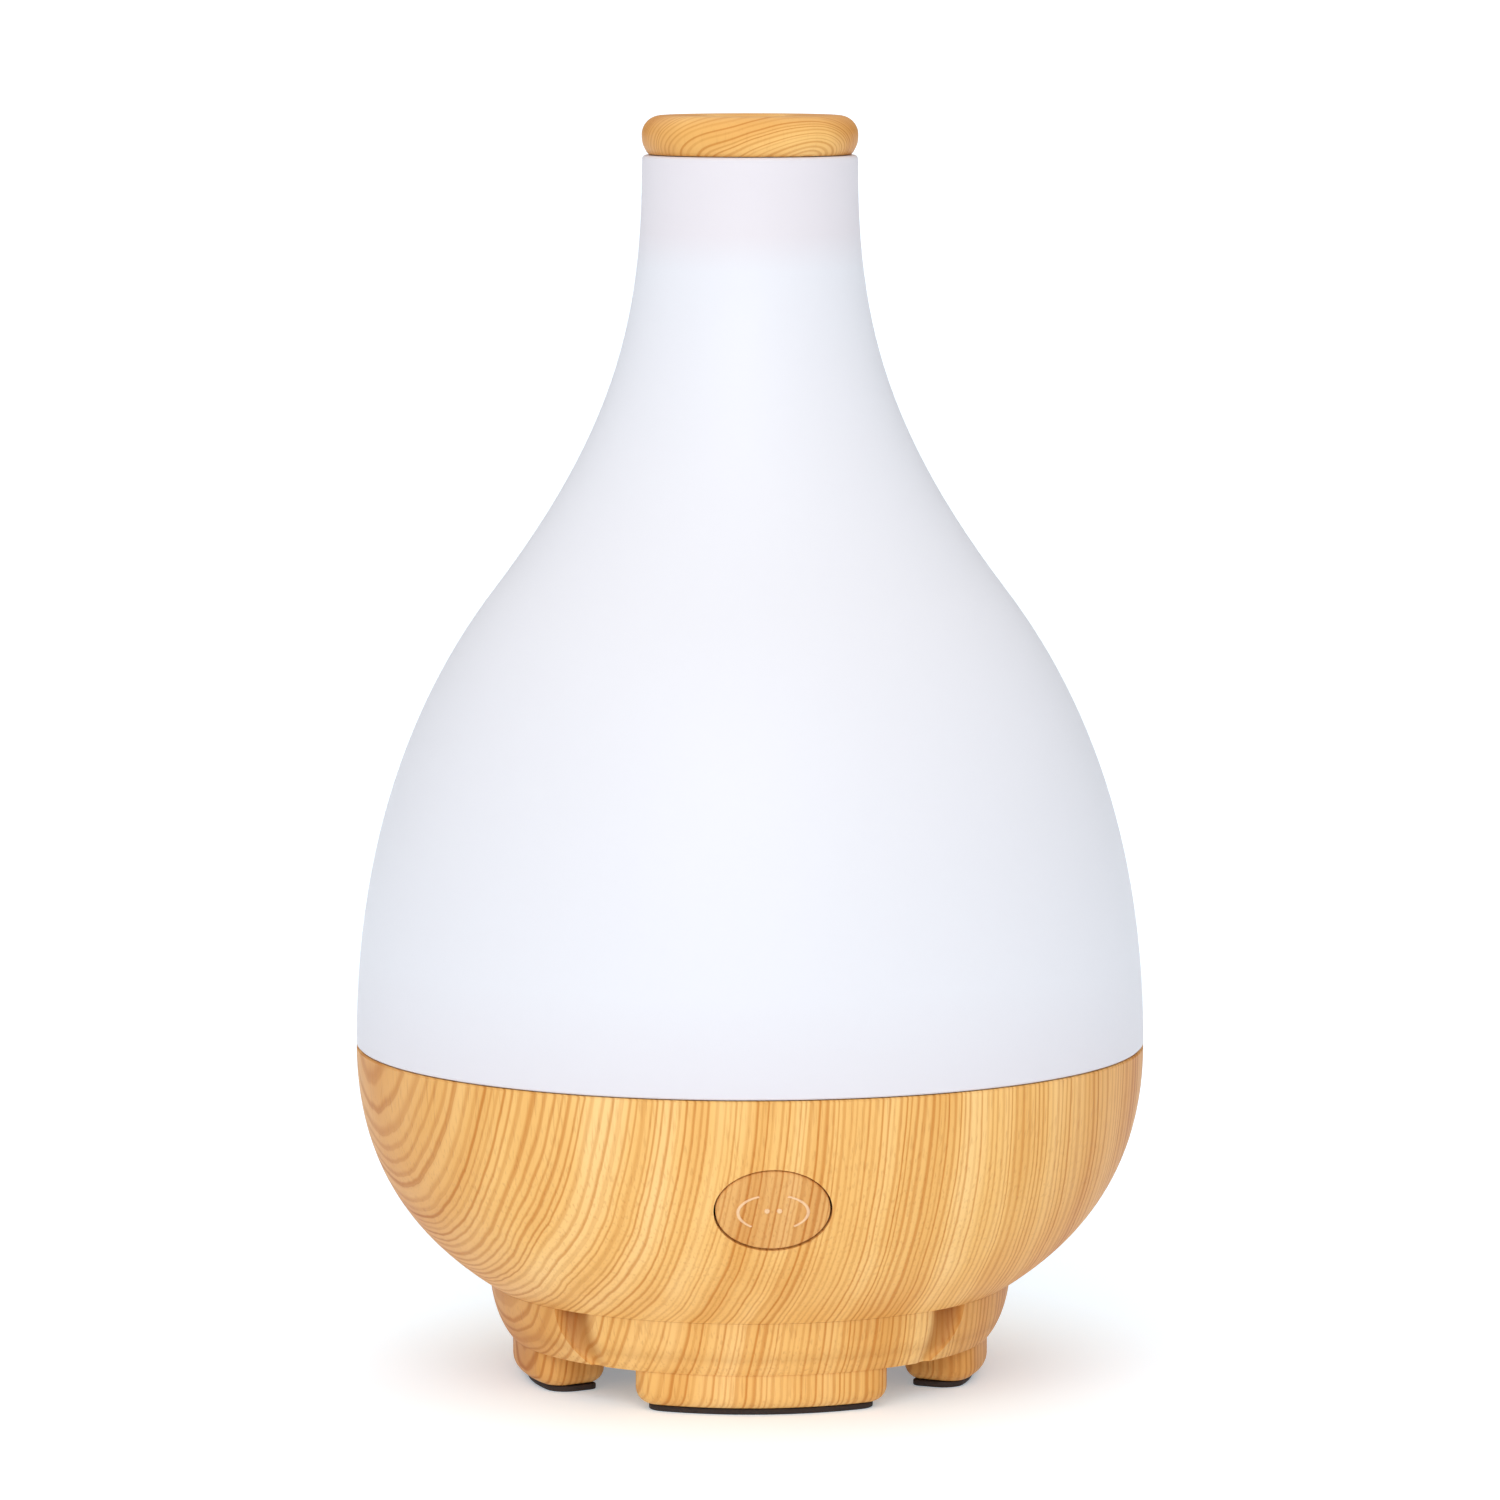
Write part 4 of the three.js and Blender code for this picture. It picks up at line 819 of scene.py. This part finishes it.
def ringBlock(name, shape, span, angle, low, high, steps=20, cornerSteps=9):
    # a block bent round the upright axis, its plan drawn as one half and mirrored, with rounded ends
    inner, outer, corners = shape["inside"], shape["outside"], shape["corners"]
    half = math.radians(span / 2)
    # the two corners' centres, as a radius and a turn
    ends = []
    for radius, corner, way in ((outer, corners[0], -1), (inner, corners[1], 1)):
        reach = radius + way * corner
        ends.append((reach, half - math.asin(corner / reach)))

    def at(radius, turn):
        return Vector((radius * math.sin(turn), -radius * math.cos(turn)))

    turns = ((ends[0][1], half + math.pi / 2), (half + math.pi / 2, ends[1][1] + math.pi))
    bends = []
    for end, corner, (begin, finish) in zip(ends, corners, turns):
        stops = [begin + (finish - begin) * i / cornerSteps for i in range(cornerSteps + 1)]
        bends.append([at(*end) + at(corner, stop) for stop in stops])
    outerArc = [at(outer, ends[0][1] * i / steps) for i in range(steps + 1)]
    innerArc = [at(inner, ends[1][1] * (1 - i / steps)) for i in range(1, steps + 1)]
    side = outerArc + bends[0][1:] + bends[1] + innerArc
    plan = side + [Vector((-point.x, point.y)) for point in reversed(side[1:-1])]
    pickNone()
    bpy.ops.mesh.primitive_circle_add(vertices=len(plan), radius=0.04, fill_type="NGON")
    block = bpy.context.object
    block.name = name
    for vertex, point in zip(block.data.vertices, plan):
        turned = Matrix.Rotation(math.radians(angle), 2) @ point
        vertex.co = (turned.x, turned.y, low)
    editAll()
    bpy.ops.mesh.extrude_region_move(TRANSFORM_OT_translate={"value": (0, 0, high - low)})
    faceOut(block)
    return block


def makeFoot(angle, span):
    f = footShape
    foot = ringBlock("foot", f, span, angle, f["low"], ringShape["foot"][1] + f["sunk"])
    # its bottom edge is rounded all the way round
    pick(foot)
    bpy.ops.object.mode_set(mode="EDIT")
    bpy.ops.mesh.select_mode(type="EDGE")
    mesh = bmesh.from_edit_mesh(foot.data)
    for edge in mesh.edges:
        edge.select_set(False)
    for edge in mesh.edges:
        edge.select_set(max(vertex.co.z for vertex in edge.verts) < f["low"] + 0.0001)
    bmesh.update_edit_mesh(foot.data)
    bpy.ops.mesh.bevel(offset=f["round"], segments=6, clamp_overlap=False)
    bpy.ops.mesh.select_mode(type="VERT")
    bpy.ops.object.mode_set(mode="OBJECT")
    return foot


def ringLine(steps):
    # the ring's outer line, from its foot to the crease
    r = ringShape
    ends = [r["foot"], (r["top"] - 0.0017, 0.0101), (r["top"] - 0.0004, 0.0139), (r["top"], ringTop)]
    return curvePoints(ends, steps)


def makeScoop(steep, way):
    # a hollow that drops in a quarter round at its steep end and fades back into the ring; it gets
    # shallower downwards, where its steep end runs towards the fading one
    c = scoopShape
    low, high = ringShape["foot"][1] - c["below"], bowlShape["crease"][1] + c["above"]
    line = ringLine(60)
    pickNone()
    bpy.ops.mesh.primitive_circle_add(vertices=c["steps"] + 3, radius=0.01, fill_type="NGON")
    tool = bpy.context.object
    tool.name = "scoop"
    order = {(round(v.co.x, 5), round(v.co.y, 5)): v.index for v in tool.data.vertices}
    editAll()
    step = (0, 0, (high - low) / c["levels"])
    for _ in range(c["levels"]):
        bpy.ops.mesh.extrude_region_move(TRANSFORM_OT_translate={"value": step})
    bpy.ops.object.mode_set(mode="OBJECT")
    for vertex in tool.data.vertices:
        index = order[(round(vertex.co.x, 5), round(vertex.co.y, 5))]
        height = low + vertex.co.z
        rise = vertex.co.z / (high - low)
        share = (min(index, c["steps"]) / c["steps"]) ** c["pace"]
        if share < c["steep"]:
            fill = 1 - math.sqrt(1 - (1 - share / c["steep"]) ** 2)
        else:
            fill = (1 - math.cos(math.pi * (share - c["steep"]) / (1 - c["steep"]))) / 2
        depth = (c["shallow"] + (c["deep"] - c["shallow"]) * rise) * (1 - fill)
        radius = radiusAt(line, height) + c["proud"] - depth
        if index > c["steps"]:
            radius = ringShape["top"] + c["clear"]
            share = 1.0 if index == c["steps"] + 1 else 0.0
        start = steep + way * c["slant"] * (1 - rise) ** c["slantFade"]
        turn = math.radians(start + (steep + way * c["run"] - start) * share)
        vertex.co = (radius * math.sin(turn), -radius * math.cos(turn), height)
    faceOut(tool)
    return tool


def makeRing():
    r = ringShape
    spigot = bowlShape["land"] - r["spigotGap"]
    spigotTop = ringTop + r["spigotHigh"]
    plateTop = r["foot"][1] + r["plate"]
    outline = [(0, r["foot"][1])] + ringLine(16) + [
        (spigot, ringTop), (spigot, spigotTop), (r["inside"], spigotTop),
        (r["inside"], plateTop), (0, plateTop)]
    piece = spinOutline("footRing", outline, r["steps"])
    s = scoopShape
    for steep, way in ((s["angle"], -1), (-s["angle"], 1), (180 - s["angle"], 1), (180 + s["angle"], -1)):
        combine(piece, makeScoop(steep, way), "DIFFERENCE")
    for angle, span in footShape["spans"].items():
        combine(piece, makeFoot(angle, span), "UNION")
    return piece


ring = makeRing()
ventShape = {"centre": -0.026, "mouth": 0.0105, "width": 0.002, "pitch": 0.004, "clear": 0.001,
             "round": 0.0009, "reach": (-0.003, 0.004)}
screwBore = {"radius": 0.0032, "reach": (-0.002, 0.0012)}


def cutPlate(piece):
    # air vents as a round grille of slots, and the bores of the four screws
    v = ventShape
    under = ringShape["foot"][1]
    low, high = (under + reach for reach in v["reach"])
    wide = v["width"] / 2
    for i in range(-2, 3):
        offset = i * v["pitch"]
        half = math.sqrt(v["mouth"] ** 2 - offset ** 2)
        left = max(v["centre"] - half, -math.sqrt((footShape["inside"] - v["clear"]) ** 2 - offset ** 2))
        slot = boxBar("vent", (left, offset - wide, low), (v["centre"] + half, offset + wide, high))
        roundEdges(slot, v["round"], 4, 60)
        combine(piece, slot, "DIFFERENCE")
    low, high = (under + reach for reach in screwBore["reach"])
    for i in range(1, 5):
        a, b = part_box("base_screw_" + str(i))
        x, y = (a[0] + b[0]) / 2, (a[1] + b[1]) / 2
        bore = tubeBar("screwBore", screwBore["radius"], low, high, x, y, sides=40)
        combine(piece, bore, "DIFFERENCE")


cutPlate(ring)
smooth(ring, 32)
settle(ring, "base", ["bottom_cover"], ringWood)


# rubber pads

padShape = {"inside": 0.0324, "outside": 0.0413, "thick": 0.0011, "corners": (0.0038, 0.0016),
            "clearAngle": 2.6, "round": 0.00025}
padNames = {0: "front", 90: "right", 180: "rear", 270: "left"}


def makePad(angle, span):
    p = padShape
    name = "pad" + padNames[angle].capitalize()
    pad = ringBlock(name, p, span - 2 * p["clearAngle"], angle, 0, p["thick"])
    roundEdges(pad, p["round"], 2)
    smooth(pad, 40)
    return settle(pad, "base", ["foot_pad_" + padNames[angle]], padRubber)


for footAngle, footSpan in footShape["spans"].items():
    makePad(footAngle, footSpan)


# button: an oval face that follows the bowl, with a raised broken ring and two dots

faceShape = {
    "rings": 6, "ringStep": 0.0009, "edge": 0.00045, "edgeLift": 0.00027, "edgeRound": 0.0002,
    "depth": 0.0046, "skirt": -0.002, "ringWide": 0.0062, "ringHigh": 0.0036,
    "arcs": ((128, 118), (-66, 118)), "bead": 0.0003, "beadFlat": 0.7, "dots": (-0.0011, 0.0011),
    "dotUp": 0.0004, "dot": 0.0005, "dotFlat": 0.6,
}


def bowlDepth(x, y):
    # how far the bowl's surface lies above the button's flat plane, found step by step
    tilt = buttonFrame()
    point = tilt @ Vector((x, y, 0))
    out = (tilt.to_3x3() @ Vector((0, 0, 1))).normalized()
    depth = 0.0
    for _ in range(6):
        at = point + out * depth
        depth -= (math.hypot(at.x, at.y) - bowlRadius(at.z)) * 0.92
    return depth


def bendToBowl(piece):
    # all but the skirt's lower end follows the bowl
    depths = {}
    for vertex in piece.data.vertices:
        key = (round(vertex.co.x, 5), round(vertex.co.y, 5))
        if key not in depths:
            depths[key] = bowlDepth(*key)
        if vertex.co.z > faceShape["skirt"]:
            vertex.co.z += depths[key]


def makeButton():
    f, b = faceShape, buttonShape
    pickNone()
    bpy.ops.mesh.primitive_circle_add(vertices=96, radius=1, fill_type="NGON")
    face = bpy.context.object
    face.name = "buttonFace"
    editAll()
    bpy.ops.transform.resize(value=(b["halfWide"], b["halfHigh"], 1))
    bpy.ops.mesh.extrude_region_move(TRANSFORM_OT_translate={"value": (0, 0, f["depth"])})
    bpy.ops.mesh.inset(thickness=f["edge"])
    bpy.ops.transform.translate(value=(0, 0, f["edgeLift"]))
    for _ in range(f["rings"]):
        bpy.ops.mesh.inset(thickness=f["ringStep"])
    bpy.ops.mesh.poke()
    bpy.ops.mesh.select_all(action="SELECT")
    bpy.ops.transform.translate(value=(0, 0, -f["depth"] - f["edgeLift"]))
    faceOut(face)
    roundEdges(face, f["edgeRound"], 3, 25)
    parts = [face] + [makeBead(start, span) for start, span in f["arcs"]]
    for x in f["dots"]:
        pickNone()
        place = (x, f["dotUp"], 0)
        bpy.ops.mesh.primitive_uv_sphere_add(segments=16, ring_count=8, radius=f["dot"], location=place)
        dot = bpy.context.object
        dot.scale = (1, 1, f["dotFlat"])
        bpy.ops.object.transform_apply(location=True, rotation=True, scale=True)
        parts.append(dot)
    # the finish reads this to paint a highlight on what is raised
    for part in parts:
        bendToBowl(part)
        raisedHighlight = part.data.attributes.new("raisedHighlight", "FLOAT", "POINT")
        raisedHighlight.data.foreach_set("value", [0.0 if part is face else 1.0] * len(part.data.vertices))
    pickNone()
    for part in parts:
        part.select_set(True)
    bpy.context.view_layer.objects.active = face
    bpy.ops.object.join()
    face.data.transform(buttonFrame())
    smooth(face, 40)
    return settle(face, "button", ["button_cap"], buttonWood)


def makeBead(start, span):
    # an arc of a thin round bead, laid on the oval
    f = faceShape
    pickNone()
    bpy.ops.mesh.primitive_circle_add(vertices=10, radius=f["bead"], location=(f["ringWide"], 0, 0),
                                      rotation=(math.pi / 2, 0, 0), fill_type="NGON")
    bead = bpy.context.object
    bpy.ops.object.transform_apply(location=True, rotation=True, scale=True)
    editAll()
    bpy.ops.transform.rotate(value=math.radians(start), orient_axis="Z", center_override=(0, 0, 0))
    bpy.ops.mesh.spin(steps=28, angle=math.radians(span), center=(0, 0, 0), axis=(0, 0, 1))
    bpy.ops.mesh.select_all(action="SELECT")
    oval = (1, f["ringHigh"] / f["ringWide"], f["beadFlat"])
    bpy.ops.transform.resize(value=oval, center_override=(0, 0, 0))
    faceOut(bead)
    return bead


makeButton()


# water tank: a deep white tray with a flange, a lip, the disc's well and the air duct

tankLow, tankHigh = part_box("water_tank")
tankShape = {
    "wall": 0.002, "floor": 0.030, "flat": 0.039, "side": 0.059, "round": 0.020, "well": 0.0085,
    "boss": 0.0132, "seat": 0.0019, "seatHigh": 0.0026, "flangeDrop": 0.0057, "lipIn": 0.002,
    "lipDrop": 0.0034, "duct": 0.008, "ductWall": 0.0015, "ductAt": -0.026, "ductTop": 0.065,
    "bead": 0.0004,
}


def makeTank():
    t = tankShape
    flange = seamHeight - t["flangeDrop"]
    lip = tankHigh[0] - t["lipIn"]
    lipLow = seamHeight - t["lipDrop"]
    centre = (t["flat"], t["floor"] + t["round"])
    radii = (t["side"] - t["flat"], t["round"])
    outRound = arcPoints(centre, radii, -90, 0, 12)
    inRound = arcPoints(centre, [radius - t["wall"] for radius in radii], -90, 0, 12)
    seat = t["boss"] - t["seat"]
    seatTop, floorTop = tankLow[2] + t["seatHigh"], t["floor"] + t["wall"]
    well = [(seat, seatTop), (t["well"], seatTop), (t["well"], floorTop - 0.001),
            (t["well"] + 0.002, floorTop)]
    inside = [(t["side"] - t["wall"], flange + t["wall"] - t["bead"]),
              (t["side"] - t["wall"] + t["bead"], flange + t["wall"]),
              (lip - t["wall"], flange + t["wall"])]
    rim = arcPoints((lip - t["wall"] / 2, tankHigh[2] - t["wall"] / 2), (t["wall"] / 2, t["wall"] / 2),
                    180, 0, 8)
    outside = [(lip, lipLow), (tankHigh[0], lipLow), (tankHigh[0], flange), (t["side"], flange)]
    boss = [(t["boss"], t["floor"]), (t["boss"], tankLow[2]), (seat, tankLow[2])]
    outline = well + inRound + inside + rim + outside + outRound[::-1] + boss
    tank = spinOutline("tankTray", outline, 160)
    duct = tubeBar("duct", t["duct"], t["floor"] - 0.0004, t["ductTop"], t["ductAt"])
    combine(tank, duct, "UNION")
    bore = tubeBar("ductBore", t["duct"] - t["ductWall"], t["floor"] - 0.004, 0.08, t["ductAt"])
    combine(tank, bore, "DIFFERENCE")
    smooth(tank, 35)
    return settle(tank, "base", ["water_tank"], whitePlastic)


makeTank()


# the duct's hood, with three windows

hoodShape = {"out": 0.0099, "in": 0.0084, "rise": 0.007, "skirt": 0.006, "roof": 0.0015,
             "outRound": 0.0035, "inRound": 0.0024, "window": 0.009, "windowHigh": 0.0034,
             "windowRise": 0.0014, "windowRound": 0.0008}


def makeHood():
    h = hoodShape
    top = tankShape["ductTop"] + h["rise"]
    low = tankShape["ductTop"] - h["skirt"]
    outer, inner = h["outRound"], h["inRound"]
    ceiling = top - h["roof"]
    roof = arcPoints((h["out"] - outer, top - outer), (outer, outer), 90, 0, 8)
    under = arcPoints((h["in"] - inner, ceiling - inner), (inner, inner), 0, 90, 6)
    outline = [(0, top)] + roof + [(h["out"], low), (h["in"], low)] + under
    outline.append((0, ceiling))
    hood = spinOutline("ductCap", outline, 96)
    middle = tankShape["ductTop"] + h["windowRise"]
    wide, high = h["window"] / 2, h["windowHigh"] / 2
    for i in range(3):
        window = boxBar("window", (0, -wide, middle - high), (0.03, wide, middle + high))
        roundEdges(window, h["windowRound"])
        window.data.transform(Matrix.Rotation(math.radians(120 * i), 4, "Z"))
        combine(hood, window, "DIFFERENCE")
    hood.data.transform(Matrix.Translation((tankShape["ductAt"], 0, 0)))
    smooth(hood, 35)
    return settle(hood, "base", ["duct_hood"], whitePlastic)


makeHood()


# splash lid and mist chimney

lidLow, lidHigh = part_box("splash_lid")
lidShape = {"wall": 0.0016, "collar": 0.012, "collarDrop": 0.003, "rise": 0.026, "edge": 0.0004}


def makeLid():
    c = lidShape
    wall, collarOut, edge = c["wall"], c["collar"], c["edge"]
    spring = lidHigh[2] - c["rise"]
    out, foot = lidHigh[0], lidLow[2]
    dome = arcPoints((collarOut, spring), (out - collarOut, c["rise"]), 0, 90, 28)
    under = arcPoints((collarOut, spring), (out - collarOut - wall, c["rise"] - wall), 90, 0, 28)
    rim = [(out - wall, foot + edge), (out - wall + edge, foot), (out - edge, foot), (out, foot + edge)]
    ceiling = lidHigh[2] - wall
    low = ceiling - c["collarDrop"]
    collar = [(collarOut - wall, lidHigh[2]), (collarOut - wall, low), (collarOut, low),
              (collarOut, ceiling)]
    outline = rim + dome + collar + under[1:]
    lid = spinOutline("lidDome", outline, 160)
    smooth(lid, 35)
    return settle(lid, "lid", ["splash_lid"], lidPlastic)


chimneyShape = {"plug": 0.009, "gap": 0.0003, "taper": 0.0022, "wall": 0.0015, "mouth": 0.0007,
                "edge": 0.0003, "collar": 0.0012}


def makeChimney():
    c = chimneyShape
    low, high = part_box("mist_chimney")
    collar = high[0]
    edge, mouth = c["edge"], c["mouth"]
    seat = low[2] + c["plug"]
    out = lidShape["collar"] - lidShape["wall"] - c["gap"]
    bore = out - c["wall"]
    tip = out - c["taper"]
    # the plug in the lid's hole, then the collar that rests on the lid, with a curved way up to the tube
    outline = [(bore, low[2]), (out, low[2]), (out, seat), (collar - edge, seat), (collar, seat + edge),
               (collar, seat + c["collar"] - edge), (collar - edge, seat + c["collar"]),
               (out + 0.0014, seat + 0.0013), (out + 0.0004, seat + 0.0017), (out, seat + 0.0026)]
    outline += arcPoints((tip - mouth, high[2] - mouth), (mouth, mouth), 0, 180, 8)
    outline.append((bore, seat + 0.0024))
    chimney = spinOutline("chimneyTube", outline, 96)
    smooth(chimney, 35)
    return settle(chimney, "lid", ["mist_chimney"], lidPlastic)


makeLid()
makeChimney()

paints = {
    "white_plastic": whitePlastic, "lid_plastic": lidPlastic, "silicone": silicone,
    "black_plastic": blackPlastic, "circuit_board": greenBoard, "steel": steel, "aluminium": aluminium,
    "brass": brass, "copper": copper, "lamp": lampLens, "sleeve": sleeveBlue, "lead_red": cableRed,
    "lead_white": cableWhite, "rubber": padRubber, "wood_grain": wood, "button_wood": buttonWood,
    "frosted_cover": frosted,
}
for part in frame["record"]["subparts"]:
    node = nodes[part["node"]]
    node.data.materials.clear()
    node.data.materials.append(paints[part["material_slot"]])
print("carried nodes painted")
